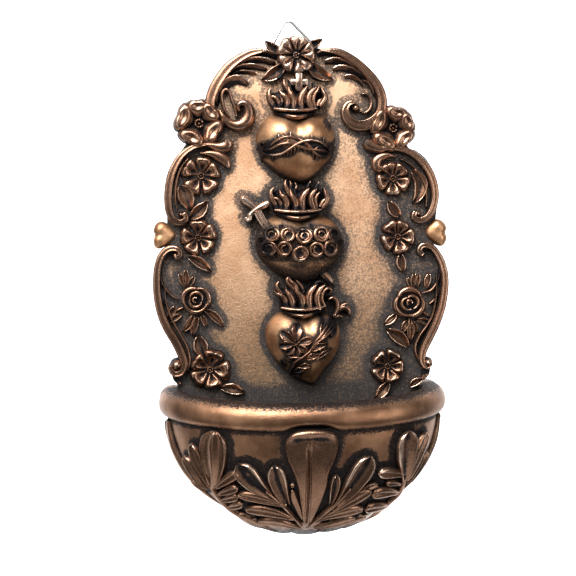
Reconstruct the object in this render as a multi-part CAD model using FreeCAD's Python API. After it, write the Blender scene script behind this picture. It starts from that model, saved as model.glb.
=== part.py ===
import FreeCAD, Part
import math
import os

Vector = FreeCAD.Vector

# Wall font for holy water, in millimetres. The wall is the plane y = 0 and the front faces -Y.
# The origin is on the wall, at the height of the two bosses on the plate's sides.
# Outlines and paths are (x, z) points, seen from the front. The two sides differ a little, as
# hand-modelled ornament does.

plate_thickness = 9.0
plate_bottom = -76.0
plate_front = -plate_thickness

bowl_middle = 1.5
bowl_half_width = 57.5
bowl_depth = 48.0
bowl_height = 52.5
bowl_straight = 8.0
bowl_wall = 6.0
basin_floor_extra = 4.0
bowl_centre_z = -74.0

rim_height = 11.0
rim_width = 10.5
rim_overhang = 3.5
rim_front_overhang = 2.5
rim_rounding = 5.2
rim_bottom = -76.0
rim_top = rim_bottom + rim_height
foot_gap = 0.05

leaf_relief = 3.0

scroll_radius = 2.4
scroll_lift = 0.8
flower_height = 4.6
heart_height = 12.0
collar_height = 10.0

wire_radius = 0.6
wire_clearance = 0.05
ring_half_base = 15.0
ring_height = 20.0
ring_corner = 2.2
ring_tilt = -8.0
ring_axis_z = 70.0
ring_axis_x = 0.7
ring_depth = 2.2
strap_width = 9.0
strap_gauge = 0.6
strap_length = 16.0
pocket_depth = 4.2
pocket_half_width = 18.0
pocket_bottom = 49.0
screw_below_axis = 10.0
screw_head_radius = 3.0
screw_head_height = 1.1
screw_shank_radius = 1.2
screw_shank_length = 3.0

smallest_fragment = 1.5


# ---- shapes that the ornament is made of ----

def at(point, y):
    return Vector(point[0], y, point[1])


def smooth_edge(points, y):
    curve = Part.BSplineCurve()
    curve.interpolate([at(p, y) for p in points])
    return curve.toShape()


def closed_wire(points, y):
    curve = Part.BSplineCurve()
    curve.interpolate(Points=[at(p, y) for p in points], PeriodicFlag=True)
    return Part.Wire(curve.toShape())


def centre_of(points):
    count = len(points)
    return (sum(p[0] for p in points) / count, sum(p[1] for p in points) / count)


def pillow(outline, height, base=plate_front, middle=None):
    """A domed pad with a flat back at y = base, rising towards -Y."""
    profile = [(1.0, 0.0), (0.98, 0.32), (0.88, 0.66), (0.66, 0.89), (0.35, 0.98), (0.08, 1.0)]
    cx, cz = middle or centre_of(outline)
    rings = []
    for scale, rise in profile:
        ring = [(cx + (x - cx) * scale, cz + (z - cz) * scale) for x, z in outline]
        rings.append(closed_wire(ring, base - rise * height))
    return Part.makeLoft(rings, True)


def ellipse_outline(centre, half_x, half_z, count=16):
    step = 2 * math.pi / count
    return [(centre[0] + half_x * math.cos(i * step), centre[1] + half_z * math.sin(i * step))
            for i in range(count)]


def flower_outline(centre, radius, turn, petals=5, notch=0.3):
    """Round petals with a notch between them; turn is the first petal's direction in degrees."""
    count = petals * 8
    points = []
    for i in range(count):
        from_petal = 2 * math.pi * i / count
        reach = radius * (1 - notch * (1 - abs(math.cos(petals * from_petal / 2)) ** 0.8))
        angle = from_petal + math.radians(turn)
        points.append((centre[0] + reach * math.cos(angle), centre[1] + reach * math.sin(angle)))
    return points


def leaf_outline(base, tip, width):
    """An almond from base to tip, widest a little past its middle."""
    run_x = tip[0] - base[0]
    run_z = tip[1] - base[1]
    length = math.hypot(run_x, run_z)
    side_x = -run_z / length
    side_z = run_x / length
    stations = [(0.0, 0.12), (0.25, 0.36), (0.55, 0.5), (0.85, 0.3), (1.0, 0.05)]
    way = [(t, share) for t, share in stations] + [(t, -share) for t, share in reversed(stations)]
    return [(base[0] + run_x * t + side_x * share * width, base[1] + run_z * t + side_z * share * width)
            for t, share in way]


def rod(path, radii, y=plate_front - scroll_lift, stations=None):
    """A round rod that tapers along a smooth path; a path point may hold its own y as (x, y, z)."""
    points = [Vector(*p) if len(p) == 3 else at(p, y) for p in path]
    curve = Part.BSplineCurve()
    curve.interpolate(points)
    count = stations or 2 * len(points)
    rings = []
    for i in range(count + 1):
        share = i / count
        u = curve.FirstParameter + share * (curve.LastParameter - curve.FirstParameter)
        along = curve.tangent(u)[0]
        across = (Vector(0, 1, 0) - along * along.y).normalize()
        slot = share * (len(radii) - 1)
        low = min(int(slot), len(radii) - 2)
        radius = radii[low] + (radii[low + 1] - radii[low]) * (slot - low)
        facing = FreeCAD.Rotation(across, along.cross(across), along, "ZXY")
        ring = Part.makeCircle(radius)
        ring.Placement = FreeCAD.Placement(curve.value(u), facing)
        rings.append(Part.Wire(ring))
    return Part.makeLoft(rings, True)


def ball(centre, radius, y=plate_front - scroll_lift):
    """A sphere whose seam faces the front, clear of the cuts at its sides."""
    middle = at(centre, y)
    sphere = Part.makeSphere(radius, middle)
    return sphere.rotate(middle, Vector(0, 0, 1), -90)


def joined(shapes):
    whole = shapes[0]
    for shape in shapes[1:]:
        whole = whole.fuse(shape)
    return whole


def front_of(shape, x, z):
    """How far forward a shape reaches on the line through (x, z)."""
    line = Part.makeLine(Vector(x, -60, z), Vector(x, 1, z))
    return line.common(shape).BoundBox.YMin


def slab_behind(y):
    return Part.makeBox(200, 100, 300, Vector(-100, y, -150))


# ---- plate ----

flank_edge_left = [(-50, -65), (-53.4, -60), (-52.4, -55), (-50.4, -51.5), (-52.4, -46.5), (-56.5, -39.5),
                   (-59.4, -30), (-60.2, -20), (-59.2, -11.5), (-56, -6)]
shoulder_edge_left = [(-54.8, 5), (-55.7, 14), (-54, 24), (-50, 32), (-46.5, 37)]
arch_edge_left = [(-39, 51), (-37.6, 56), (-34.5, 62.5), (-31, 67.5), (-25, 72), (-18.5, 75), (-11, 76)]
arch_edge_right = [(10, 76), (17, 75.5), (24.5, 71.5), (30, 67), (34.8, 61), (36.8, 54)]
shoulder_edge_right = [(46, 36.5), (50, 34), (54, 31), (57.2, 26.3), (59.3, 20.5), (59.8, 14), (58.8, 5)]
flank_edge_right = [(58, -6), (61, -9.5), (63.2, -14), (63.8, -20), (63.6, -26), (62, -33), (59.8, -39.5),
                    (56.8, -46), (54.2, -51), (54.2, -56), (55.2, -61), (53, -65)]


def plate_face(y):
    stretches = [flank_edge_left, shoulder_edge_left, arch_edge_left, arch_edge_right,
                 shoulder_edge_right, flank_edge_right]
    half_foot = bowl_half_width + rim_overhang - rim_width - foot_gap
    foot = [(bowl_middle + half_foot, rim_top), (bowl_middle + half_foot, plate_bottom),
            (bowl_middle - half_foot, plate_bottom), (bowl_middle - half_foot, rim_top)]
    edges = []
    previous = foot[-1]
    for stretch in stretches:
        edges.append(Part.makeLine(at(previous, y), at(stretch[0], y)))
        edges.append(smooth_edge(stretch, y))
        previous = stretch[-1]
    for corner in foot:
        edges.append(Part.makeLine(at(previous, y), at(corner, y)))
        previous = corner
    return Part.Face(Part.Wire(edges))


def make_plate():
    plate = plate_face(0).extrude(Vector(0, plate_front, 0))
    pocket = Part.makeBox(2 * pocket_half_width, pocket_depth, 60,
                          Vector(ring_axis_x - pocket_half_width, -pocket_depth, pocket_bottom))
    return plate.cut(pocket)


# ---- bowl ----

def ellipsoid(grow, floor_rise=0.0):
    """The front half of the bowl's round form, larger by grow; floor_rise lifts its lowest point."""
    half_x = bowl_half_width + grow
    half_y = bowl_depth - bowl_straight + grow
    half_z = bowl_height + grow - floor_rise
    matrix = FreeCAD.Matrix()
    matrix.scale(half_x, half_y, half_z)
    round_form = Part.makeSphere(1.0, Vector(0, 0, 0), Vector(0, 0, 1)).transformGeometry(matrix)
    round_form.translate(Vector(bowl_middle, -bowl_straight, bowl_centre_z))
    return round_form.cut(slab_behind(-bowl_straight))


def back_form(grow):
    """The straight part between the wall and the round form."""
    half_x = bowl_half_width + grow
    half_z = bowl_height + grow
    ellipse = Part.Ellipse(Vector(0, 0, 0), half_x, half_z).toShape()
    ellipse.rotate(Vector(0, 0, 0), Vector(1, 0, 0), 90)
    ellipse.translate(Vector(bowl_middle, 0, bowl_centre_z))
    return Part.Face(Part.Wire(ellipse)).extrude(Vector(0, -bowl_straight, 0))


def bowl_form(grow):
    return ellipsoid(grow).fuse(back_form(grow)).removeSplitter()


def below(z):
    return Part.makeBox(200, 200, 200, Vector(-100, -150, z - 200))


def make_bowl():
    cavity = ellipsoid(-bowl_wall, basin_floor_extra).cut(slab_behind(plate_front))
    return bowl_form(0).cut(cavity).common(below(rim_bottom))


def half_oval(half_x, half_y, z):
    """A face from the wall round the front: two straight ends and half an ellipse."""
    arc = Part.ArcOfEllipse(Part.Ellipse(Vector(0, 0, 0), half_x, half_y), math.pi, 2 * math.pi).toShape()
    arc.translate(Vector(bowl_middle, -bowl_straight, z))
    left = Vector(bowl_middle - half_x, 0, z)
    right = Vector(bowl_middle + half_x, 0, z)
    forward = Vector(0, -bowl_straight, 0)
    ends = [Part.makeLine(left, left + forward), Part.makeLine(right + forward, right)]
    wall = Part.makeLine(right, left)
    return Part.Face(Part.Wire(Part.sortEdges([arc, wall] + ends)[0]))


def make_rim():
    outer_x = bowl_half_width + rim_overhang
    outer_y = bowl_depth - bowl_straight + rim_front_overhang
    outer = half_oval(outer_x, outer_y, rim_bottom).extrude(Vector(0, 0, rim_height))
    crown = [edge for edge in outer.Edges
             if abs(edge.BoundBox.ZMax - edge.BoundBox.ZMin) < 0.01 and edge.BoundBox.YMin < -1]
    outer = outer.makeFillet(rim_rounding, crown)
    inner = half_oval(outer_x - rim_width, outer_y - rim_width, rim_bottom - 1)
    return outer.cut(inner.extrude(Vector(0, 0, rim_height + 2)))


def make_bowl_leaves():
    """Raised pads that follow the bowl, each with its own outline from the front."""
    skin = bowl_form(leaf_relief).common(below(rim_bottom)).cut(bowl_form(0))
    pads = {}
    for name, outline in bowl_leaves.items():
        cutter = Part.Face(closed_wire(outline, 0)).extrude(Vector(0, -80, 0))
        pads[name] = solids_of(skin.common(cutter))
    return pads


bowl_leaves = {
    "bowl_front_leaf": [(-7, -77), (1.5, -76.2), (9.5, -79), (12.5, -85), (10, -91), (7, -103), (3, -118),
                        (0.8, -127), (-2, -118), (-4, -104), (-7, -93), (-9.5, -84)],
    "bowl_side_leaf_left": [(-3, -126), (-8, -129), (-20, -124.5), (-26, -118.5), (-22.5, -111.5),
                            (-28, -104.5),
                            (-25, -101), (-29.5, -93), (-25, -89.5), (-19.5, -93.5), (-15, -99),
                            (-14.5, -92),
                            (-11, -91), (-9, -99), (-6, -111)],
    "bowl_side_leaf_right": [(4, -126), (10, -129), (20, -126), (25, -121), (20, -117.5), (24.5, -111),
                             (23, -105), (28.5, -101), (29, -92), (24, -88.5), (17, -94.5), (13, -95.5),
                             (10.5, -97), (9, -104), (6.5, -115)],
    "bowl_outer_leaf_left": [(-29, -120), (-38, -110), (-46, -101), (-50, -93), (-44.5, -84.5),
                             (-41.5, -88),
                             (-40, -80), (-35.5, -78.5), (-32, -84), (-34.5, -93), (-32, -97),
                             (-31, -102.5), (-30.5, -110)],
    "bowl_outer_leaf_right": [(30, -121), (40, -113), (48, -104), (53.5, -94), (53.5, -84), (49, -81.5),
                              (46, -84), (41.5, -79), (36.5, -80.5), (37, -88), (31.5, -91.5), (34, -99),
                              (28.5, -102.5), (31, -109), (26.5, -113)],
    "bowl_edge_leaf_left": [(-60, -76.5), (-60, -90), (-55, -98), (-51, -98), (-53.5, -88), (-56, -80)],
    "bowl_edge_leaf_right": [(63, -76.5), (63, -90), (58, -98), (55, -96), (57, -88), (59, -80)],
}


# ---- frame ornament ----

scrolls = {
    "arch_scroll_left": ([(-14, 75), (-20, 73.6), (-26, 70.2), (-31.5, 65), (-35.3, 58.5), (-36.2, 52),
                          (-33.8, 47.5),
                          (-29, 45), (-24.5, 45), (-21.2, 47.6), (-21.5, 51.5), (-24.6, 52.6)],
                         [0.8, 1.6, 2.0, 2.2, 2.3, 2.5, 2.6, 2.6, 2.4, 2.0, 1.6, 1.3]),
    "arch_scroll_right": ([(11, 75.2), (17, 74), (23.5, 70.7), (29.3, 66), (33.6, 60), (35, 53.5),
                           (33, 48.6),
                           (28.5, 45.8), (23.5, 45.8), (20.3, 48.8), (20.6, 52.4), (23.4, 53.2)],
                          [0.8, 1.6, 2.0, 2.2, 2.3, 2.5, 2.6, 2.6, 2.4, 2.0, 1.6, 1.3]),
    "shoulder_scroll_left": ([(-31, 37), (-36.5, 36.8), (-41.5, 36.2), (-46, 34), (-50, 30),
                              (-52.8, 24.5), (-54, 17.5),
                              (-53.9, 10), (-51.8, 5), (-48.6, 4.2), (-46.6, 6.4), (-48.2, 8.6)],
                             [2.1, 2.3, 2.5, 2.5, 2.5, 2.4, 2.3, 2.2, 2.0, 1.8, 1.5, 1.2]),
    "shoulder_scroll_right": ([(31, 35), (37, 34), (43, 33.6), (48.5, 32), (53, 28.2), (56.2, 22.5),
                               (57.5, 16),
                               (57, 10), (54.6, 5.6), (51, 4), (48.4, 5.6), (49.4, 8.2)],
                              [2.1, 2.3, 2.5, 2.5, 2.5, 2.4, 2.3, 2.2, 2.0, 1.8, 1.5, 1.2]),
    "flank_scroll_left": ([(-52.4, -10.8), (-49.6, -9.4), (-50.2, -6.4), (-54, -5.6), (-57.4, -10), (-58.6, -18),
                           (-58.2, -26), (-56, -34), (-52.8, -40.5), (-49.6, -46.5), (-48.6, -52), (-50.2, -57),
                           (-52.6, -58)],
                          [1.0, 1.2, 1.5, 1.8, 2.0, 2.2, 2.4, 2.5, 2.5, 2.4, 2.2, 2.0, 1.9]),
    "flank_scroll_right": ([(53.4, -10.6), (50.8, -9.2), (51.4, -6.2), (55.6, -5.8), (59.6, -10.4), (61.6, -18),
                            (61.6, -26), (59.8, -34), (56.6, -40.8), (53.2, -46), (51.6, -51), (52.6, -55.6),
                            (54.2, -58)],
                           [1.0, 1.2, 1.5, 1.8, 2.0, 2.2, 2.4, 2.5, 2.5, 2.4, 2.2, 2.0, 1.9]),
}

feathers = {
    "arch_feathers_left": [[(-7.5, 73), (-13.5, 74.6), (-19, 72.6)], [(-9.5, 70.4), (-14.5, 71.8),
                            (-20, 70.6), (-26, 66.5)],
                           [(-13, 67.6), (-18, 69), (-23.5, 67.6), (-29, 63)],
                           [(-22, 64), (-26, 65.4), (-30.5, 62), (-33, 56.5)], [(-28, 51), (-29.6, 57)]],
    "arch_feathers_right": [[(7.5, 72.8), (12, 73.4), (17, 71.8)], [(12, 71.4), (16.5, 71.4), (21.5, 69.4),
                             (26.5, 65.5)],
                            [(15.5, 68), (19.5, 68.4), (24.5, 66), (29, 61.5)],
                            [(26.5, 61), (29.4, 60), (31.4, 55)], [(26, 57.4), (28.6, 55.6), (28.8, 51.4)]],
}
feather_radii = [1.3, 1.5, 0.7]

flowers = {
    "crest_flower": ((-0.5, 73.3), 7.4, 84),
    "shoulder_flower_left": ((-41, 45), 10.0, 92),
    "shoulder_flower_right": ((40, 43.5), 9.7, 82),
    "upper_flower_left": ((-40.5, 23.5), 8.6, 78),
    "upper_flower_right": ((40, 22), 7.9, 52),
    "waist_flower_left": ((-42, -2), 8.0, 92),
    "waist_flower_right": ((42, -2.5), 7.9, 48),
    "lower_flower_left": ((-38, -57.5), 8.4, 64),
    "lower_flower_right": ((37.5, -58), 7.8, 56),
}
flower_eye = 0.24
rose_bud = 0.5
eye_rise = 1.6

roses = {"rose_left": ((-43.5, -27.5), 6.3), "rose_right": ((46.5, -30), 6.6)}

leaf_groups = {
    "crest_leaves": [((-5, 74), (-13.5, 78.8), 4.4), ((4, 76.5), (11, 79.6), 4.4), ((-5.5, 69),
                      (-15, 63), 6.4),
                     ((4.5, 69.5), (15, 63.4), 7.0)],
    "side_leaves_left": [((-49, 19), (-45, 8.5), 8.4), ((-45.5, 6), (-38, 13), 6.6), ((-46, -10),
                          (-37, -16), 5.0),
                         ((-40, -51), (-42, -42.5), 7.6), ((-33, -65), (-23.5, -67.5), 5.6)],
    "side_leaves_right": [((48, 25), (47.5, 11), 7.6), ((43, 6), (38, 12.5), 6.0), ((43, -9.5),
                           (44.5, -17.5), 5.0),
                          ((46, -49), (37, -42), 6.4), ((38, -64), (32, -71.5), 5.6), ((47, -66),
                          (52, -63), 4.6)],
    "rose_leaves_left": [((-47, -24), (-48.5, -15.5), 6.4), ((-49.5, -30), (-55, -35.5), 5.0),
                         ((-45, -34), (-47.5, -41.5), 6.2), ((-41, -33.5), (-43, -40.5), 5.6),
                         ((-38.5, -31), (-34, -38), 6.0)],
    "rose_leaves_right": [((48, -24.5), (48.5, -17), 5.6), ((51.5, -25.5), (55, -20), 5.0),
                          ((41.5, -34.5), (37.5, -40.5), 5.6), ((46, -37), (46.5, -44.5), 6.0),
                          ((52, -35.5), (55.5, -41), 5.2)],
}
leaf_height = 3.4

bosses = {
    "side_boss_left": [(-51.5, -1), (-54.5, 3.6), (-57.5, 5), (-60.2, 3.6), (-61, 0), (-60.8, -4),
                       (-58.4, -6.4),
                       (-54.5, -4.6)],
    "side_boss_right": [(54, -1.2), (56, 2.8), (59.4, 5), (62.4, 3.2), (63.6, 0), (63.4, -3.8), (61, -6.8),
                        (57, -4.6)],
}
boss_back = -3.0
boss_height = 9.0


def make_flower(centre, radius, turn):
    pad = pillow(flower_outline(centre, radius, turn), flower_height)
    eye_radius = radius * flower_eye
    eye = pillow(ellipse_outline(centre, eye_radius, eye_radius), flower_height + eye_rise)
    return pad.fuse(eye)


def make_rose(centre, radius):
    outer = pillow(flower_outline(centre, radius, 20, petals=6, notch=0.1), flower_height)
    bud_radius = radius * rose_bud
    bud = pillow(ellipse_outline(centre, bud_radius, bud_radius), flower_height + eye_rise)
    return outer.fuse(bud)


def make_leaves(leaves):
    return joined([pillow(leaf_outline(*leaf), leaf_height) for leaf in leaves])


# ---- hearts ----

heart_outlines = {
    "upper_heart": [(-17.5, 38.5), (-17, 42), (-15, 45.4), (-12.5, 47.6), (-8.5, 48.8), (-4, 48.6),
                    (-0.6, 47.8),
                    (3.5, 48.6), (8, 48.6), (12, 47), (14.3, 44.2), (15.2, 40.8), (15.3, 36.5), (14, 31.6),
                    (12, 28), (9, 24.5), (5.5, 21.5), (1.5, 20), (-3, 21), (-8.5, 23.6), (-12.5, 27),
                    (-15.6, 31)],
    "middle_heart": [(-18.4, -4), (-17.8, -0.5), (-16, 3), (-13, 5.4), (-9, 6.8), (-4, 6.8), (0, 6.2),
                     (4.5, 6.8),
                     (9, 6.8), (13, 5.2), (16.4, 2), (18.2, -2), (18.4, -6.5), (17, -11), (13.6, -15.6),
                     (9.4, -18.8), (5, -20.8), (0.6, -21.6), (-4, -20.4), (-9, -18), (-14, -13.6),
                     (-17.4, -9)],
    "lower_heart": [(-14.5, -42), (-13.4, -38.5), (-11, -35.4), (-7.6, -33.6), (-3.6, -33.8), (1.5, -35.4),
                    (6.5, -34), (11, -34.6), (14.6, -36.8), (16.9, -40.4), (17.4, -44.6), (16.6, -49.4),
                    (14.2, -54), (11, -58.4), (8.6, -62), (5.6, -65), (2, -64), (-2, -62), (-6, -58.8),
                    (-9.6, -55), (-12.4, -50.6), (-14.2, -46.2)],
}

flame_tips = {
    "upper_flames": [(-13, 58), (-9, 60.2), (-4.8, 62), (-0.6, 63), (3.8, 62.2), (7.8, 60.4), (11.4, 58)],
    "middle_flames": [(-13, 17.4), (-8.6, 19.8), (-4.2, 21.4), (0.2, 22), (4.6, 20.8), (8.6, 18.8),
                      (12.6, 16.2)],
    "lower_flames": [(-11.2, -23.4), (-7, -20.8), (-2.4, -18.8), (2, -18.2), (6.6, -19.6), (10.4, -22),
                     (13.2, -25.6)],
}
flame_radii = [1.5, 2.0, 1.5, 0.4]

collars = {
    "upper_collar": ((-1.5, 50), 8.6, 1.9),
    "middle_collar": ((-0.8, 8.4), 9.4, 1.9),
    "lower_collar": ((0.7, -32), 9.0, 1.9),
}

garland_roses = [(-12.5, -0.8, 3.0), (-6.2, -1, 3.1), (1, -0.8, 3.4), (8.2, -0.4, 3.2), (13.6, -1.2, 2.6),
                 (-13.2, -7, 3.0), (-7, -6.8, 3.2), (-0.2, -8.4, 3.4), (6.4, -7.2, 3.4), (12.4, -7.4, 3.0),
                 (-16.8, -3.8, 2.1), (16.8, -4.8, 2.2)]

thorn_band = [(-16.6, 35.6), (-13, 33.8), (-8, 33.4), (-2, 34), (4, 34.8), (9.5, 35.4), (14.2, 36.6)]
thorn_radius = 1.9

cross_centre = (-0.2, 62.6)
cross_half_height = 3.6
cross_half_width = 3.2
cross_bar = 1.5
cross_front = plate_front - 5.4

sword_pommel = (-22.5, 13)
sword_guard = [(-21, 6), (-18, 9.6), (-13.5, 12)]
sword_blade_in = (-12, 2)
sword_blade_out = [(6, -13), (10.5, -18.5), (14, -23)]
sword_lift = 1.6

lily_stems = [[(-9, -54.5), (-2, -50), (6, -44), (12, -37.5), (19, -33)],
              [(-6, -56.5), (2, -53), (9, -47), (16.5, -39)]]
lily_blossom = (-2.5, -44.5)
lily_radius = 5.2


def make_flames(tips, collar):
    """Tongues that fan out of the collar, each swinging out and back to its tip."""
    (cx, cz), half_x, half_z = collar
    tongues = []
    for x, z in tips:
        side = (x - cx) / half_x
        foot = (cx + side * half_x * 0.6, cz + 0.5)
        rise = z - cz
        belly = (x * 0.9 + cx * 0.1 + side * 1.2, cz + rise * 0.45)
        neck = (x + side * 0.4, cz + rise * 0.75)
        tongues.append(rod([foot, belly, neck, (x, z)], flame_radii, stations=8))
    return joined(tongues)


def make_cross():
    x, z = cross_centre
    depth = plate_front - cross_front
    foot = Vector(x - cross_bar / 2, cross_front, z - cross_half_height)
    arm = Vector(x - cross_half_width, cross_front, z)
    upright = Part.makeBox(cross_bar, depth, 2 * cross_half_height, foot)
    bar = Part.makeBox(2 * cross_half_width, depth, cross_bar, arm)
    return upright.fuse(bar)


def make_garland(heart):
    return joined([ball((x, z), radius, front_of(heart, x, z)) for x, z, radius in garland_roses])


def on_heart(heart, path, lift=0.0):
    """Lay a front-view path on a heart; off the heart it drops to the plate."""
    laid = []
    for x, z in path:
        surface = front_of(heart, x, z)
        laid.append((x, min(surface, plate_front - 1.0) - lift, z))
    return laid


def make_thorn_crown(heart):
    return rod(on_heart(heart, thorn_band), [thorn_radius, thorn_radius], stations=24)


def make_hilt():
    y = plate_front - sword_lift
    grip = rod([sword_pommel, (-17.5, 8), sword_blade_in], [1.0, 1.2, 1.3], y)
    guard = rod(sword_guard, [0.9, 1.3, 0.9], y)
    return joined([grip, guard, ball(sword_pommel, 1.8, y)])


def make_lily_spray(heart):
    stems = [rod(on_heart(heart, stem), [0.9, 1.1, 1.4], stations=16) for stem in lily_stems]
    bloom = ball(lily_blossom, lily_radius, front_of(heart, *lily_blossom) + 2.6)
    return joined(stems + [bloom])


# ---- hanger ----

def ring_path():
    """Closed three-cornered loop in the x-z plane, its base on the hinge line through the origin."""
    corners = [(-ring_half_base, 0), (0, ring_height), (ring_half_base, 0)]
    count = len(corners)
    edges = []
    tangents = []
    for i, corner in enumerate(corners):
        before = Vector(*at(corners[i - 1], 0)) - Vector(*at(corner, 0))
        after = Vector(*at(corners[(i + 1) % count], 0)) - Vector(*at(corner, 0))
        half_angle = before.getAngle(after) / 2
        reach = ring_corner / math.tan(half_angle)
        before.normalize()
        after.normalize()
        point = at(corner, 0)
        inward = (before + after).normalize()
        middle = point + inward * (ring_corner / math.sin(half_angle) - ring_corner)
        tangents.append((point + before * reach, middle, point + after * reach))
    for i, (start, middle, stop) in enumerate(tangents):
        edges.append(Part.Arc(start, middle, stop).toShape())
        edges.append(Part.makeLine(stop, tangents[(i + 1) % count][0]))
    return Part.Wire(edges)


def place_hanger(shape):
    """Move a hanger piece, drawn with the hinge line on the origin, into the pocket, turned on its screw."""
    turn_about = Vector(0, 0, -screw_below_axis)
    shape.rotate(turn_about, Vector(0, 1, 0), ring_tilt)
    shape.translate(Vector(ring_axis_x, -ring_depth, ring_axis_z))
    return shape


def make_ring():
    path = ring_path()
    start = path.Edges[1].valueAt(path.Edges[1].FirstParameter)
    along = path.Edges[1].tangentAt(path.Edges[1].FirstParameter)
    section = Part.Wire(Part.makeCircle(wire_radius, start, along))
    loop = Part.Wire(path.Edges[1:] + path.Edges[:1])
    tube = loop.makePipeShell([section], True, False)
    return place_hanger(tube)


def make_strap():
    bore = wire_radius + wire_clearance
    outside = bore + strap_gauge
    half = strap_width / 2
    across = Vector(1, 0, 0)
    eye = Part.makeCylinder(outside, strap_width, Vector(-half, 0, 0), across)
    floor = pocket_depth - ring_depth
    leg = Part.makeBox(strap_width, strap_gauge, strap_length, Vector(-half, -floor, -strap_length))
    web = Part.makeBox(strap_width, floor, strap_gauge, Vector(-half, -floor, -outside))
    wire_way = Part.makeCylinder(bore, strap_width + 2, Vector(-half - 1, 0, 0), across)
    strap = joined([eye, leg, web]).cut(wire_way)
    hole = Part.makeCylinder(screw_shank_radius, 20, Vector(0, -10, -screw_below_axis), Vector(0, 1, 0))
    return place_hanger(strap.cut(hole))


def make_screw():
    floor = pocket_depth - ring_depth
    seat = -floor + strap_gauge
    out = Vector(0, 1, 0)
    head = Part.makeCylinder(screw_head_radius, screw_head_height, Vector(0, seat, -screw_below_axis), out)
    rounded = [edge for edge in head.Edges if edge.BoundBox.YMin > seat + screw_head_height - 0.01]
    head = head.makeFillet(screw_head_height * 0.6, rounded)
    shank = Part.makeCylinder(screw_shank_radius, screw_shank_length + strap_gauge,
                              Vector(0, -floor - screw_shank_length, -screw_below_axis), out)
    return place_hanger(head.fuse(shank))


# ---- putting it together ----

def solids_of(shape):
    """The shape's solids without crumbs that trimming leaves."""
    kept = [solid for solid in shape.Solids if solid.Volume > smallest_fragment]
    return kept[0] if len(kept) == 1 else Part.makeCompound(kept)


def settle(ornament, fixed):
    """Trim each ornament where the plate or an ornament laid before it already stands."""
    laid = dict(fixed)
    for name, shape in ornament.items():
        for other in laid.values():
            if shape.BoundBox.intersect(other.BoundBox):
                shape = shape.cut(other)
        laid[name] = solids_of(shape)
    return {name: laid[name] for name in ornament}


def make_ornament():
    hearts = {name: pillow(outline, heart_height) for name, outline in heart_outlines.items()}
    pieces = dict(hearts)
    pieces["rose_garland"] = make_garland(hearts["middle_heart"])
    pieces["lily_spray"] = make_lily_spray(hearts["lower_heart"])
    for name, (centre, half_x, half_z) in collars.items():
        pieces[name] = pillow(ellipse_outline(centre, half_x, half_z), collar_height)
    pieces["thorn_crown"] = make_thorn_crown(hearts["upper_heart"])
    pieces["sword_hilt"] = make_hilt()
    pieces["sword_point"] = rod(sword_blade_out, [1.6, 1.3, 0.5], plate_front - sword_lift)
    pieces["cross"] = make_cross()
    for name, tips in flame_tips.items():
        pieces[name] = make_flames(tips, collars[name.replace("flames", "collar")])
    for name, flower in flowers.items():
        pieces[name] = make_flower(*flower)
    for name, rose in roses.items():
        pieces[name] = make_rose(*rose)
    for name, outline in bosses.items():
        pieces[name] = pillow(outline, boss_height, boss_back)
    for name, (path, radii) in scrolls.items():
        pieces[name] = rod(path, radii, stations=3 * len(path))
    for name, paths in feathers.items():
        pieces[name] = joined([rod(path, feather_radii, stations=8) for path in paths])
    for name, leaves in leaf_groups.items():
        pieces[name] = make_leaves(leaves)
    return pieces


def make_all():
    plate = make_plate()
    fixed = {"behind": slab_behind(plate_front)}
    ornament = make_ornament()
    boss_names = list(bosses)
    boss_shapes = {name: ornament[name].cut(plate) for name in boss_names}
    nodes = {"back_plate": plate, "bowl_shell": make_bowl(), "bowl_rim": make_rim()}
    nodes.update({"hanger_ring": make_ring(), "hanger_strap": make_strap(), "hanger_screw": make_screw()})
    nodes["back_plate"] = plate.cut(nodes["hanger_screw"])
    settled = settle({name: shape for name, shape in ornament.items() if name not in boss_names}, fixed)
    nodes.update(settled)
    for name, shape in boss_shapes.items():
        for other in settled.values():
            if shape.BoundBox.intersect(other.BoundBox):
                shape = shape.cut(other)
        nodes[name] = solids_of(shape)
    nodes.update(make_bowl_leaves())
    return nodes


os.makedirs("parts", exist_ok=True)
for node, shape in make_all().items():
    shape.exportStep("parts/" + node + ".step")
    box = shape.BoundBox
    print("%-24s %2d solids %9.1f mm3  %.1f wide %.1f deep %.1f tall"
          % (node, len(shape.Solids), shape.Volume, box.XLength, box.YLength, box.ZLength))
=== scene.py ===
import math
import bpy
import numpy as np
from mathutils import Matrix, Vector


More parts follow.
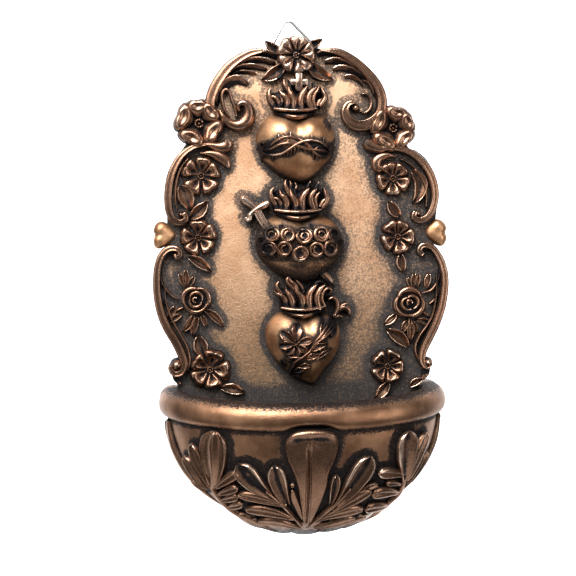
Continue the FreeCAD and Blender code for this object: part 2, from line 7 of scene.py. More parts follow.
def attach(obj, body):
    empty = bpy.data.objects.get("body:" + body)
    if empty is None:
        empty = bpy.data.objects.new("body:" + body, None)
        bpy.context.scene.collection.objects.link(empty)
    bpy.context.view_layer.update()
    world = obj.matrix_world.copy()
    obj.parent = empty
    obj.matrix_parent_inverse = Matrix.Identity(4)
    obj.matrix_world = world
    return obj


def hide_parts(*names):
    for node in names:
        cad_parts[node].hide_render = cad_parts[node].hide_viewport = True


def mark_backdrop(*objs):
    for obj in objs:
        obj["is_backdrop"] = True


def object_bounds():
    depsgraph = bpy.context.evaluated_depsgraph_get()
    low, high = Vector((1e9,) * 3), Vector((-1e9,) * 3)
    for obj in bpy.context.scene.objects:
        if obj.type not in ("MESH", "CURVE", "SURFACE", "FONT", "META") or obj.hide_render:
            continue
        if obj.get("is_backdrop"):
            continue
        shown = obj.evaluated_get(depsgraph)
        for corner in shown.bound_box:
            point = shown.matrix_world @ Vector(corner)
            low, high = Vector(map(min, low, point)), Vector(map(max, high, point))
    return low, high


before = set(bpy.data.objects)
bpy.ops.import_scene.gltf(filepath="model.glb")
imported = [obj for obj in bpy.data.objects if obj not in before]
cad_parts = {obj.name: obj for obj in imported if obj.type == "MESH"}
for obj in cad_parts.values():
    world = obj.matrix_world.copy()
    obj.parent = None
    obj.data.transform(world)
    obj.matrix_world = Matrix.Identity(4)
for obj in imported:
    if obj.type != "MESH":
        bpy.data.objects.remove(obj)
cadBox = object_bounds()
spacing = 0.34
wallFront = -9.0
print("frame loaded")


# ---- shapes in millimetres: paths and outlines are (x, z) points seen from the front ----

# numbers, or pairs of numbers written as "x,z"
def pairs(text):
    return [tuple(map(float, word.split(","))) if "," in word else float(word) for word in text.split()]


# widths along a line as shares of the half-width
def scaled(half, text):
    return [(at, half * share) for at, share in pairs(text)]


# rows of a table: one or more lists of pairs, then single numbers and the section's name
def rows(*lines):
    table = []
    for line in lines:
        *lists, values = line.split("|")
        table.append((*map(pairs, lists), *(float(v) if v[-1].isdigit() else v for v in values.split())))
    return table


# an evenly spaced smooth line through the points
def smoothLine(points, count, closed=False):
    pts = np.array(points, float)
    if closed:
        padded = np.vstack([pts[-1:], pts, pts[:2]])
    else:
        padded = np.vstack([2 * pts[:1] - pts[1:2], pts, 2 * pts[-1:] - pts[-2:-1]])
    spans = len(pts) if closed else len(pts) - 1
    t = np.linspace(0, spans, spans * 24 + 1)
    i = np.minimum(t.astype(int), spans - 1)
    f = (t - i)[:, None]
    p, q, r, s = padded[i], padded[i + 1], padded[i + 2], padded[i + 3]
    dense = 0.5 * (2 * q + (r - p) * f + (2 * p - 5 * q + 4 * r - s) * f ** 2
                   + (3 * q - p - 3 * r + s) * f ** 3)
    run = np.concatenate([[0], np.cumsum(np.linalg.norm(np.diff(dense, axis=0), axis=1))])
    at = np.linspace(0, run[-1], count + 1 if closed else count)
    line = np.stack([np.interp(at, run, dense[:, k]) for k in range(dense.shape[1])], -1)
    return line[:-1] if closed else line


def lineLength(points):
    dense = smoothLine(points, 60)
    return float(np.sum(np.linalg.norm(np.diff(dense, axis=0), axis=1)))


# values given evenly, or as (share, value) pairs, spread along a line
def spread(values, t):
    if isinstance(values, (int, float)):
        return np.full(len(t), float(values))
    if isinstance(values[0], tuple):
        knots = np.array(values, float)
    else:
        knots = np.stack([np.linspace(0, 1, len(values)), np.array(values, float)], -1)
    fine = np.linspace(0, 1, 201)
    rough = np.interp(fine, knots[:, 0], knots[:, 1])
    kernel = np.ones(13) / 13
    soft = np.convolve(np.pad(rough, 6, mode="edge"), kernel, mode="valid")
    inner = np.minimum(1, np.minimum(fine, 1 - fine) / 0.05)
    return np.interp(t, fine, rough * (1 - inner) + soft * inner)


def smoothstep(low, high, v):
    t = np.clip((v - low) / (high - low), 0, 1)
    return t * t * (3 - 2 * t)


# both halves of a section from its right half
def mirrored(text):
    half = pairs(text)
    return [(-u, high) for u, high in half[:0:-1]] + half


# cross-sections: u runs from one edge to the other, and the height is a share of the body
sections = {
    "round": mirrored("0,1 0.45,0.92 0.8,0.66 0.96,0.34 1,0"),
    "wall": mirrored("0,1 0.5,0.96 0.9,0.82 0.99,0.6 1,0"),
    "leaf": mirrored("0,0.3 0.25,0.52 0.55,0.78 0.74,1 0.88,0.96 0.97,0.62 1,0"),
    "cup": mirrored("0,0.3 0.3,0.36 0.6,0.66 0.76,1 0.88,0.96 0.97,0.62 1,0"),
    "finger": mirrored("0,0.52 0.12,0.72 0.35,1 0.7,0.93 0.94,0.6 1,0"),
    "keel": pairs("-1,0 -0.97,0.5 -0.88,0.72 -0.74,0.66 -0.4,0.62 -0.08,0.98 0.08,0.98 0.4,0.62 0.74,0.66 "
                  "0.88,0.72 0.97,0.5 1,0"),
    "moulding": pairs("-1,0 -0.96,0.42 -0.84,0.68 -0.5,0.84 0,0.86 0.4,0.88 0.58,1 0.74,0.98 0.88,0.5 1,0"),
    "feather": pairs("-1,0 -0.95,0.2 -0.6,0.36 -0.1,0.58 0.35,0.84 0.68,1 0.88,0.86 0.98,0.4 1,0"),
}


def sectionHeights(name, u):
    knots = smoothLine(sections[name], 161)
    order = np.argsort(knots[:, 0], kind="stable")
    return np.clip(np.interp(u, knots[order, 0], knots[order, 1]), 0, 1.05)


def gridFaces(rows, cols, wrap):
    i = np.arange(rows - 1)[:, None]
    j = np.arange(cols if wrap else cols - 1)[None, :]
    k = (j + 1) % cols
    return np.stack([i * cols + j, i * cols + k, (i + 1) * cols + k, (i + 1) * cols + j], -1).reshape(-1, 4)


# where a height above the ground lies: on the plate, on a heart or on the bowl
def onPlate(q, h):
    return np.stack([q[:, 0], wallFront - h, q[:, 1]], -1)


def closedShell(points, faces):
    return {"points": points, "faces": [tuple(f) for f in faces]}


# a raised strip along a path; the section's u = +1 side is on the left of the way along
def strip(path, widths, body, section="round", ground=onPlate, sink=1.2, lift=0.0, flip=False):
    length = lineLength(path)
    widest = widths
    if isinstance(widths, list):
        widest = max(w[1] if isinstance(w, tuple) else w for w in widths)
    count = max(10, int(length / spacing))
    across = int(np.clip(2.6 * widest / spacing, 9, 26))
    line = smoothLine(path, count)
    t = np.linspace(0, 1, count)
    width = np.maximum(spread(widths, t), 0.04)
    if isinstance(body, list):
        high = spread(body, t)
    else:
        high = body * np.minimum(1, (width / (0.45 * widest))) ** 0.5
    way = np.gradient(line, axis=0)
    way /= np.maximum(np.linalg.norm(way, axis=1, keepdims=True), 1e-9)
    side = np.stack([-way[:, 1], way[:, 0]], -1)
    if flip:
        side = -side
    u = np.sin(np.linspace(-math.pi / 2, math.pi / 2, across))
    share = sectionHeights(section, u)
    loops = []
    for k in range(count):
        q = line[k] + side[k] * (u * width[k])[:, None]
        top = ground(q, share * high[k] + lift)
        under = ground(q[[-1, 0]] * 0.9 + line[k] * 0.1, np.full(2, -sink))
        loops.append(np.vstack([top, under]))
    cols = across + 2
    faces = [tuple(f) for f in gridFaces(count, cols, True).tolist()]
    faces.append(tuple(range(cols)))
    faces.append(tuple(range((count - 1) * cols, count * cols)))
    return closedShell(np.vstack(loops), faces)


# a pad inside a closed outline; rise gives its height from rho (0 middle, 1 edge) and the point
def pad(outline, middle, rise, ground=onPlate, sink=1.2):
    ring = smoothLine(outline, 200, closed=True)
    size = float(np.linalg.norm(ring - np.array(middle), axis=1).mean())
    count = int(np.clip(2 * math.pi * size / spacing, 20, 220))
    rings = int(np.clip(1.3 * size / spacing, 6, 60))
    ring = smoothLine(outline, count, closed=True)
    rho = np.sin(np.linspace(0, math.pi / 2, rings + 1))[1:]
    middle = np.array(middle, float)
    rounds = []
    for r in rho[::-1]:
        q = middle + (ring - middle) * r
        rounds.append(ground(q, rise(np.full(count, r), q)))
    top = ground(middle[None, :], rise(np.zeros(1), middle[None, :]))
    skirt = ground(middle + (ring - middle) * 0.97, np.full(count, -sink))
    floor = ground(middle[None, :], np.full(1, -sink))
    points = np.vstack([skirt] + rounds + [top, floor])
    faces = [tuple(f) for f in gridFaces(rings + 1, count, True).tolist()]
    last = rings * count
    tip = (rings + 1) * count
    for j in range(count):
        k = (j + 1) % count
        faces.append((last + j, last + k, tip))
        faces.append((k, j, tip + 1))
    return closedShell(points, faces)


def circle(middle, radius, count=20):
    a = np.linspace(0, 2 * math.pi, count, endpoint=False)
    return [(middle[0] + radius * math.cos(t), middle[1] + radius * math.sin(t)) for t in a]


def bead(middle, radius, high, ground=onPlate, lift=0.0, sink=1.2):
    return pad(circle(middle, radius), middle,
               lambda rho, q: lift + high * np.sqrt(np.clip(1 - rho ** 2, 0, 1)), ground, sink)


def joined(shells):
    points, faces, start = [], [], 0
    for shell in shells:
        points.append(shell["points"])
        faces += [tuple(i + start for i in f) for f in outward(shell)]
        start += len(shell["points"])
    return {"points": np.vstack(points), "faces": faces}


# faces turned so that the shell's volume is positive
def outward(shell):
    p = shell["points"]
    quads = np.array([f for f in shell["faces"] if len(f) == 4])
    tris = [(f[0], f[i], f[i + 1]) for f in shell["faces"] if len(f) != 4 for i in range(1, len(f) - 1)]
    tris = np.array(tris + [tuple(x) for corners in ([0, 1, 2], [0, 2, 3]) for x in quads[:, corners]])
    a, b, c = p[tris[:, 0]], p[tris[:, 1]], p[tris[:, 2]]
    total = float(np.sum(np.einsum("ij,ij->i", a, np.cross(b, c))))
    if total < 0:
        return [tuple(reversed(f)) for f in shell["faces"]]
    return shell["faces"]


made = {}


def keep(name, shells, slot, look, wear=1.0):
    made[name] = dict(joined(shells), slot=slot, look=look, wear=wear)


# ---- plate ----

plateSettings = {
    "left": pairs("-51.4,-76 -51.4,-65 -53.2,-60 -52.4,-55 -50.4,-51.5 -52.4,-46.5 -56.5,-39.5 -59.4,-30 "
                  "-60.2,-20 -59.2,-11.5 -56,-6 -54.8,5 -55.7,14 -54,24 -50,32 -46.5,37 -39,51 -37.6,56 "
                  "-34.5,62.5 -31,67.5 -25,72 -18.5,75 -11,76"),
    "right": pairs("51.9,-76 51.9,-65.2 55.2,-61 54.2,-56 54.2,-51 56.8,-46 59.8,-39.5 62,-33 63.6,-26 "
                   "63.8,-20 63.2,-14 61,-9.5 58,-6 58.8,5 59.8,14 59.3,20.5 57.2,26.3 54,31 50,34 "
                   "46,36.5 36.8,54 34.8,61 30,67 24.5,71.5 17,75.5 10,76"),
    "edgeRounding": 1.4,
    "pocket": (-17.3, 18.7, 49.0, 4.2),
    "step": 0.55,
}


def plateShell(s):
    left = smoothLine(s["left"], 400)
    right = smoothLine(s["right"], 400)
    rows = int(152 / (s["step"] * 1))
    cols = int(118 / (s["step"] * 1))
    z = np.linspace(-76, 76, rows)
    order = np.argsort(left[:, 1], kind="stable")
    xLeft = np.interp(z, left[order, 1], left[order, 0])
    order = np.argsort(right[:, 1], kind="stable")
    xRight = np.interp(z, right[order, 1], right[order, 0])
    share = np.linspace(0, 1, cols)
    x = xLeft[:, None] + (xRight - xLeft)[:, None] * share[None, :]
    zz = np.repeat(z[:, None], cols, 1)
    rim = np.vstack([left, right[::-1]])
    gap = np.full(x.shape, 99.0)
    for k in range(0, len(rim), 2):
        gap = np.minimum(gap, np.hypot(x - rim[k, 0], zz - rim[k, 1]))
    r = s["edgeRounding"]
    d = np.clip(gap, 0, r)
    front = wallFront + r - np.sqrt(np.clip(r * r - (r - d) ** 2, 0, None))
    x0, x1, z0, deep = s["pocket"]
    inside = (x > x0) & (x < x1) & (zz > z0)
    back = np.where(inside, -deep, 0.0)
    points = np.vstack([np.stack([x, side, zz], -1).reshape(-1, 3) for side in (front, back)])
    n = rows * cols
    faces = gridFaces(rows, cols, False)
    rest = []
    for i in range(rows - 1):
        for j, way in ((0, 1), (cols - 1, -1)):
            a, b = i * cols + j, (i + 1) * cols + j
            rest.append((a, b, b + n, a + n)[::way])
    for j in range(cols - 1):
        for i, way in ((0, -1), (rows - 1, 1)):
            a = i * cols + j
            rest.append((a, a + 1, a + 1 + n, a + n)[::way])
    return closedShell(points, faces.tolist() + (faces[:, ::-1] + n).tolist() + rest)


keep("backPlate", [plateShell(plateSettings)], "plate_bronze", "field")
print("plate made")


# ---- bowl and its rim ----

bowlSettings = {
    "middle": (1.5, -8.0, -74.0),
    "outer": (57.5, 40.0, 52.5),
    "inner": (51.5, 34.0, 42.5),
    "top": -76.0,
    "around": 210,
    "down": 120,
}


def bowlShell(s):
    cx, cy, cz = s["middle"]
    around = s["around"] // 1
    down = s["down"] // 1
    turn = np.linspace(0, math.pi, around)

    def surface(axes, stop):
        a, b, c = axes
        first = math.asin((cz - s["top"]) / c)
        drop = np.linspace(first, math.pi / 2, down)
        x = cx + a * np.cos(turn)[None, :] * np.cos(drop)[:, None]
        y = np.minimum(cy - b * np.sin(turn)[None, :] * np.cos(drop)[:, None], stop)
        z = np.repeat((cz - c * np.sin(drop))[:, None], around, 1)
        return x, y, z

    ox, oy, oz = surface(s["outer"], cy)
    wings = np.linspace(0, cy, 5)[:-1]
    left = [np.stack([ox[:, :1], np.full((down, 1), w), oz[:, :1]], -1) for w in wings]
    right = [np.stack([ox[:, -1:], np.full((down, 1), w), oz[:, -1:]], -1) for w in wings[::-1]]
    outer = np.concatenate(left + [np.stack([ox, oy, oz], -1)] + right, 1)
    ix, iy, iz = surface(s["inner"], -9.0)
    cols = outer.shape[1]
    pick = np.clip(np.arange(cols) - 4, 0, around - 1)
    inner = np.stack([ix, iy, iz], -1)[:, pick]
    n = down * cols
    faces = gridFaces(down, cols, False).tolist() + (gridFaces(down, cols, False)[:, ::-1] + n).tolist()
    for i in range(down - 1):
        a, b = i * cols, (i + 1) * cols
        faces.append((a, b, b + cols - 1, a + cols - 1))
        faces.append((a + n, a + n + cols - 1, b + n + cols - 1, b + n))
    for j in range(cols - 1):
        faces.append((j, j + 1, j + 1 + n, j + n)[::-1])
    faces.append((0, cols - 1, cols - 1 + n, n))
    return closedShell(np.vstack([outer.reshape(-1, 3), inner.reshape(-1, 3)]), faces)


def onBowl(q, h):
    cx, cy, cz = bowlSettings["middle"]
    a, b, c = bowlSettings["outer"]
    u = (q[:, 0] - cx) / a
    w = (q[:, 1] - cz) / c
    reach = np.sqrt(u * u + w * w)
    limit = np.where(reach > 0.985, 0.985 / np.maximum(reach, 1e-6), 1.0)
    over = np.clip(reach - 0.985, 0, 0.1)[:, None]
    u, w = u * limit, w * limit
    v = np.sqrt(np.clip(1 - u * u - w * w, 0, 1))
    base = np.stack([cx + a * u, cy - b * v, cz + c * w], -1)
    normal = np.stack([u / a, -v / b, w / c], -1)
    normal /= np.linalg.norm(normal, axis=1, keepdims=True)
    flat = np.stack([u, np.zeros(len(u)), w], -1)
    return base + normal * h[:, None] + flat * over * 55


keep("bowlShell", [bowlShell(bowlSettings)], "bowl_bronze", "bowl")

rimSettings = {
    "outer": (61.0, 42.5),
    "section": pairs("0,-75.6 0,-68 1,-66 3,-65.15 5.4,-65.05 8,-66.1 9.8,-68.3 10.5,-71 10.2,-73.6 "
                     "9,-75.4 7,-76 3,-76"),
    "around": 220,
    "loop": 46,
    "sag": 1.5,
    "scallop": (1.0, 9.0, 2.4),
}


def rimShell(s):
    around = s["around"] // 1
    section = smoothLine(s["section"], s["loop"] // (1), closed=True)
    a, b = s["outer"]
    cx, cy, cz = bowlSettings["middle"]
    turn = np.linspace(0, math.pi, around)
    inset = 10.5 - np.clip(section[:, 0], 0, 10.5)
    loops = []

    def loop(t, y):
        px = cx + (a - inset) * math.cos(t)
        py = np.full(len(section), y) if y is not None else cy - (b - inset) * math.sin(t)
        middle, wide, rise = s["scallop"]
        arch = rise * math.sin(t) * np.exp(-((px - middle) / wide) ** 4)
        arch = arch * smoothstep(71, 76, -section[:, 1])
        return np.stack([px, py, section[:, 1] - s["sag"] * math.sin(t) ** 2 + arch], -1)

    for y in (0.0, -4.0):
        loops.append(loop(0, y))
    for t in turn:
        loops.append(loop(t, None))
    for y in (-4.0, 0.0):
        loops.append(loop(math.pi, y))
    cols = len(section)
    rows = len(loops)
    faces = gridFaces(rows, cols, True).tolist()
    faces.append(tuple(range(cols)))
    faces.append(tuple(range((rows - 1) * cols, rows * cols)))
    return closedShell(np.vstack(loops), faces)


keep("bowlRim", [rimShell(rimSettings)], "bowl_bronze", "bowl")
print("bowl made")


# ---- hearts ----

hearts = {
    "upper": {
        "outline": pairs("-17.5,38.5 -17,42 -15,45.4 -12.5,47.6 -8.5,48.8 -4,48.6 -0.6,47.8 3.5,48.6 "
                         "8,48.6 12,47 14.3,44.2 15.2,40.8 15.3,36.5 14,31.6 12,28 9,24.5 5.5,21.5 "
                         "1.5,20 -3,21 -8.5,23.6 -12.5,27 -15.6,31"), "middle": (-1.0, 37.0), "high": 10.6,
        "lobes": [(-9.0, 41.5), (6.8, 41.5)], "cleft": (-0.6, 47.0)},
    "middle": {
        "outline": pairs("-18.4,-4 -17.8,-0.5 -16,3 -13,5.4 -9,6.8 -4,6.8 0,6.2 4.5,6.8 9,6.8 13,5.2 "
                         "16.4,2 18.2,-2 18.4,-6.5 17,-11 13.6,-15.6 9.4,-18.8 5,-20.8 0.6,-21.6 "
                         "-4,-20.4 -9,-18 -14,-13.6 -17.4,-9"), "middle": (0.0, -5.0), "high": 10.6,
        "lobes": [(-9.0, -0.5), (9.0, -0.5)], "cleft": (0.0, 5.6)},
    "lower": {
        "outline": pairs("-14.5,-42 -13.4,-38.5 -11,-35.4 -7.6,-33.6 -3.6,-33.8 1.5,-35.4 6.5,-34 "
                         "11,-34.6 14.6,-36.8 16.9,-40.4 17.4,-44.6 16.6,-49.4 14.2,-54 11,-58.4 8.6,-62 "
                         "5.6,-65 2,-64 -2,-62 -6,-58.8 -9.6,-55 -12.4,-50.6 -14.2,-46.2"),
        "middle": (1.5, -46.0), "high": 10.6, "lobes": [(-5.0, -40.0), (8.6, -41.0)],
        "cleft": (1.5, -36.0)},
}


heartForm = {"edge": 2.5, "fullness": 0.56, "lobe": 1.3, "lobeSpread": 42, "cleft": 2.4,
             "cleftSize": (3.2, 8.0)}


def heartHeight(s, q):
    ring = smoothLine(s["outline"], 240, closed=True) - np.array(s["middle"])
    turn = np.arctan2(ring[:, 1], ring[:, 0])
    order = np.argsort(turn)
    turn, reach = turn[order], np.linalg.norm(ring, axis=1)[order]
    turn = np.concatenate([turn[-1:] - 2 * math.pi, turn, turn[:1] + 2 * math.pi])
    reach = np.concatenate([reach[-1:], reach, reach[:1]])
    d = q - np.array(s["middle"])
    rho = np.linalg.norm(d, axis=1) / np.interp(np.arctan2(d[:, 1], d[:, 0]), turn, reach)
    dome = np.clip(1 - np.clip(rho, 0, 1) ** heartForm["edge"], 0, 1) ** heartForm["fullness"]
    high = s["high"] * dome
    for lobe in s["lobes"]:
        gap = np.sum((q - np.array(lobe)) ** 2, axis=1)
        high = high + heartForm["lobe"] * np.exp(-gap / heartForm["lobeSpread"]) * dome
    gap = np.sum(((q - np.array(s["cleft"])) / np.array(heartForm["cleftSize"])) ** 2, axis=1)
    return np.where(rho < 1, np.maximum(high - heartForm["cleft"] * np.exp(-gap) * dome, 0), 0)


def onHeart(name):
    s = hearts[name]
    return lambda q, h: np.stack([q[:, 0], wallFront - heartHeight(s, q) - h, q[:, 1]], -1)


for name, s in hearts.items():
    shells = [pad(s["outline"], s["middle"], lambda rho, q, s=s: heartHeight(s, q) * (rho < 0.999))]
    keep(name + "Heart", shells, "heart_bronze", "heart")

# the flared collar on each heart: two ends and a sagging middle
collars = {
    "upper": {"line": pairs("-10.6,50.7 -6,50 -1.5,49.7 3.2,50 7.6,50.7"), "lip": 0.95},
    "middle": {"line": pairs("-10.6,9.3 -6,8.6 -0.8,8.3 4.4,8.6 9.2,9.3"), "lip": 0.95},
    "lower": {"line": pairs("-8.4,-31.2 -4,-31.9 0.7,-32.2 5.2,-31.9 9.8,-31.2"), "lip": 0.9},
}

for name, s in collars.items():
    line = s["line"]
    below = [(x * 0.92, z - 1.5 - 1.1 * (1 - abs(k - 2) / 2)) for k, (x, z) in enumerate(line)]
    lip = [(0, 0.5), (0.12, s["lip"]), (0.88, s["lip"]), (1, 0.5)]
    shells = [strip(line, lip, [8, 10, 10.6, 10, 8], "wall"),
              strip(below, pairs("0,0.3 0.2,1.25 0.8,1.25 1,0.3"), [5, 8.6, 9.6, 8.6, 5], "wall")]
    keep(name + "Collar", shells, "relief_bronze", "relief", 0.55)

# tongues of flame, each from its foot to its tip, with its half-width
flames = {
    "upper": {
        "tongues": rows(
            "-9.4,50 -11,53.2 -12,55.4 -12.2,57.6 -11.4,59.4 | 1 7",
            "-8,50 -8.4,53.5 -9.8,55.2 -11.2,55.6 -11,54.4 | 0.75 7.6",
            "-5.3,50 -4.6,53.6 -5.6,55.4 -7.2,56.7 -8.2,58.3 | 1.15 8.6",
            "-2.5,50 -2.1,53.6 -3.1,56.1 -4,57.6 -4.3,59.6 | 1.2 9",
            "-3.6,55.8 -4.8,58.9 -5.9,60.7 -6.1,62.8 | 0.85 7.4",
            "-3,57 -3.6,59.5 -3.4,61.6 -4.1,62.9 | 0.6 6.4",
            "-0.6,50 -0.2,52.9 -0.5,54.4 | 0.7 8",
            "1,50 0.6,53.2 1.1,56.1 2.3,57.9 3.4,59.9 | 1.25 9",
            "5.2,50 3.9,53.6 4.2,56.1 5.5,57.9 7.5,59.4 | 1.15 8.8",
            "6.9,50 5.9,53.6 6.5,56.4 7.8,58.3 8.2,60.6 | 0.7 7.8",
            "8.4,51.6 10.4,53.9 11,55.8 10.2,57.6 9.2,59.6 | 1 7.4",
            "7.6,51.7 8.2,53.4 9.4,54.9 | 0.7 8",
            "5.3,57.3 6.4,59.5 5.9,61.8 | 0.55 6.2",
            "2.4,53 2.6,55.4 3.6,57.4 | 0.5 7.4",
            "-7.2,52 -6.9,54.2 -8,56 | 0.5 7.2"),
        "body": pairs("-10.4,50.8 -11.4,54 -11,57.4 -6.4,58.6 -4.6,60.6 -1,58 2.6,58.6 6,59.6 9.6,57.6 "
                      "10.2,54 8.8,50.8 -1,50.2"), "middle": (-0.8, 54.6)},
    "middle": {
        "tongues": rows(
            "-8.9,8.6 -10.1,11.6 -11.4,14.2 -11.8,16.7 -10.4,18.9 | 0.9 7",
            "-7.6,8.6 -7.9,11.9 -9.2,13.7 -10.6,13.9 -10.2,12.8 | 0.7 7.6",
            "-6,8.6 -5.3,11.9 -6.3,14.1 -7.6,15.4 -8.4,17.6 | 1.15 8.6",
            "-1.9,8.6 -1.5,11.9 -2.5,13.8 -3.4,15.4 -4,17.9 | 1.15 8.8",
            "-4.2,15 -5.3,17.9 -5.9,19.8 -5.6,21.6 | 0.8 7.2",
            "-3,16 -3.6,18.4 -3.5,20 -4,21.2 | 0.6 6.6",
            "-1.4,14.6 -2,17 -1.2,18.8 -1.8,20.4 | 0.55 6.6",
            "-0.3,8.6 0,11.2 -0.5,13.3 | 0.7 7.8",
            "1.3,8.6 1,12.2 1.4,14.7 2.7,16.6 4.2,18.2 | 1.25 9",
            "6.2,8.6 4.9,11.8 4.7,14.4 5.6,16.3 7.4,17.9 | 1.15 8.8",
            "7.4,8.6 6.5,12.5 7,14.7 8.6,16.6 | 0.7 7.8",
            "9.2,9.8 11,12.1 11.5,14 10.9,15.9 10.2,18.2 | 0.95 7.4",
            "8.4,10.4 9.5,12.4 11,14 | 0.65 8",
            "3,16 3.6,19 4.9,21.1 | 0.6 6.4",
            "6.3,16.4 7,18.6 8.3,20.8 | 0.6 6.2"),
        "body": pairs("-10,9.2 -11,13 -10.6,16.6 -6.4,18.4 -3.4,19.6 0.4,17.6 3.6,18.6 7,18.4 10.4,16.4 "
                      "10.8,12.6 9.4,9.2 -0.4,8.6"), "middle": (-0.2, 13.4)},
    "lower": {
        "tongues": rows(
            "-5.6,-32.2 -6.2,-28.2 -7.8,-26.5 -9.7,-25.5 -10.8,-24.2 | 0.9 7.4",
            "-3.1,-32.2 -3.4,-28.6 -4.4,-26.2 -5.7,-24.5 -6.2,-23 | 1.15 8.6",
            "0.6,-32.2 1,-28.6 0,-26.3 -1.5,-24.6 -2,-22 | 1.2 8.8",
            "-7.5,-25.8 -9.4,-23.5 -9.7,-21.8 -8.8,-20.2 | 0.7 6.6",
            "-2.2,-24.4 -4,-22.4 -5.4,-20.8 -5.2,-19 -4,-19 | 0.65 7.2",
            "-0.9,-24.8 -2.2,-21.9 -4,-20.2 -4.4,-18.9 | 0.8 7.6",
            "1.5,-25 0.3,-22.3 -1.8,-19.9 | 0.7 6.8",
            "2,-32.2 2.3,-29 2,-27.4 | 0.7 7.8",
            "4,-32.2 3.5,-28.3 4,-25.3 5.4,-23.3 7,-21.8 | 1.25 9",
            "8,-32.2 7,-28.7 7.2,-26 8.4,-23.7 10.5,-22 | 1.15 8.6",
            "10.2,-31 9,-27.9 9.7,-25.1 11.4,-23.6 13,-24.3 12.2,-26 | 0.6 7.4",
            "5.8,-23.6 6.7,-21.5 8.6,-20.7 9.9,-21.3 | 0.6 6.4"),
        "body": pairs("-6.4,-31.4 -8.4,-28 -9.2,-25 -6,-23.4 -3.4,-21.6 0,-23 3.4,-24 6.4,-22.6 "
                      "9.8,-23.4 11.6,-26 10.4,-31.4 1.6,-32"), "middle": (1.2, -27.0)},
}

flameForm = {"ground": 5.2, "swell": 1.28, "thick": 1.35}

for name, s in flames.items():
    shells = [pad(s["body"], s["middle"],
                  lambda rho, q: flameForm["ground"] * np.clip(1 - rho ** 3, 0, 1) ** 0.6)]
    for path, half, high in s["tongues"]:
        half = half * flameForm["swell"]
        back = flameForm["thick"] * half
        shells.append(strip(path, [(0, half * 0.9), (0.45, half), (0.8, half * 0.7), (1, 0.12)],
                            [back, back, back * 0.9, back * 0.5], "round", lift=high - back))
    keep(name + "Flames", shells, "relief_bronze", "relief", 0.45)
print("hearts, collars and flames made")


# ---- what the hearts carry ----

crossSettings = {"middle": (0.15, 61.6), "top": 3.6, "foot": 3.7, "arm": 3.6, "half": 1.5, "high": 6.4}


def crossShells(s):
    cx, cz = s["middle"]
    half, lift = s["half"], s["high"] - 1.1
    upright = strip([(cx, cz + s["top"]), (cx, cz), (cx, cz - s["foot"])],
                    scaled(half, "0,0.96 0.35,0.9 0.6,1 0.85,1.05 1,0.6"),
                    [0.9, 1.1, 1.3, 1.1, 0.8], "wall", lift=lift)
    bar = strip([(cx - s["arm"], cz - 0.1), (cx, cz), (cx + s["arm"], cz - 0.2)],
                scaled(half, "0,0.95 0.3,0.8 0.7,0.8 1,0.95"), [0.9, 1.1, 0.9], "wall", lift=lift)
    return [upright, bar]


keep("cross", crossShells(crossSettings), "relief_bronze", "rubbed")

thornSettings = {
    "strands": rows(
        "-15.6,30.6 -14.3,32.5 -12.2,35.3 -9.4,37.6 -6.3,38.7 -3.7,38.9 -0.6,38 2.2,36.4 4.1,34.7 5.6,32.8 "
        "7.5,31.4 10.1,30.9 12.3,32.1 13.5,34.3 14.6,37.4 | 0",
        "-16.4,34.2 -14.6,33.9 -12.3,33.9 -9.4,35.4 -6.3,36.1 -3.8,36.1 -0.6,35 2.5,34 5.7,33.6 8.8,33.4 "
        "12.6,32.8 | 0.35",
        "-16.6,34.9 -15.2,32.8 -13.6,31.8 -10.7,31.5 -7.6,32 -4.7,33.7 -2.2,35.4 0.3,36.7 2.5,37.2 "
        "5.7,37.3 8.8,36.4 11.7,34.3 12.9,32.6 | 0.7",
        "-14.6,36.6 -15.8,36.6 -16.2,35.4 -15.2,34.6 -14.2,35.3 | 0.3"),
    # half-width of a strand
    "half": 0.68,
    "middle": (-1.0, 35.0),
    # each thorn's foot and tip
    "thorns": pairs("-8.7,37.8 -9.4,40.9 -4,38.8 -4.3,42 4.5,37.3 4.3,40.4 9.6,36.2 9.9,39.6 "
                    "-13.4,34.2 -13.8,37.6 -5.9,36.2 -4.2,38.3 5.6,33.2 8,35.9 -10.6,31.6 -11.2,29 "
                    "-5,33.4 -5.6,30.6 4.5,34.6 5.7,29.6 -3.7,34.2 -4.2,30.8 -1.2,35.2 -0.7,32.6 "
                    "-2.4,35 -2.7,31.2 12.4,32.6 13.2,36.6 13.7,35 15.2,38.8 -15,33.4 -17.8,35 "
                    "-14.7,32.6 -15.5,29.2 1.4,34.4 2.4,31.8 -7.4,38.4 -7,40.2 7,31.6 6.4,29.4"),
    "ground": pairs("-16.4,35 -13,37 -8,38.6 -3,38.8 3,36.8 9,36.4 14.2,35 14.4,33 11,31.2 7,31.6 2,33.4 "
                    "-3,33.2 -9,31.4 -14.6,31.6"),
    "wound": rows("11,46.9 12.3,45.6 12.9,43.8 12.3,41.6 | 0.3 0.6 0.6 0.2 | 0.9",
                  "10.2,46 10.6,44.4 10.3,42.8 | 0.2 0.5 0.2 | 0.6"),
}


def thornShells(s):
    ground = onHeart("upper")
    half = s["half"]
    shells = [pad(s["ground"], s["middle"], lambda rho, q: 0.5 * np.clip(1 - rho ** 4, 0, 1), ground,
                  sink=0.8)]
    for path, lift in s["strands"]:
        widths = [0.35, half, half, half, 0.35]
        shells.append(strip(path, widths, 1.35, "round", ground, lift=lift, sink=0.6))
    for foot, tip in zip(s["thorns"][::2], s["thorns"][1::2]):
        line = [foot, ((foot[0] + tip[0]) / 2 + 0.12, (foot[1] + tip[1]) / 2), tip]
        shells.append(strip(line, [0.5, 0.34, 0.08], [1.6, 1.5, 0.9], "round", ground, sink=0.6))
    for path, widths, high in s["wound"]:
        shells.append(strip(path, widths, high, "round", ground))
    return shells


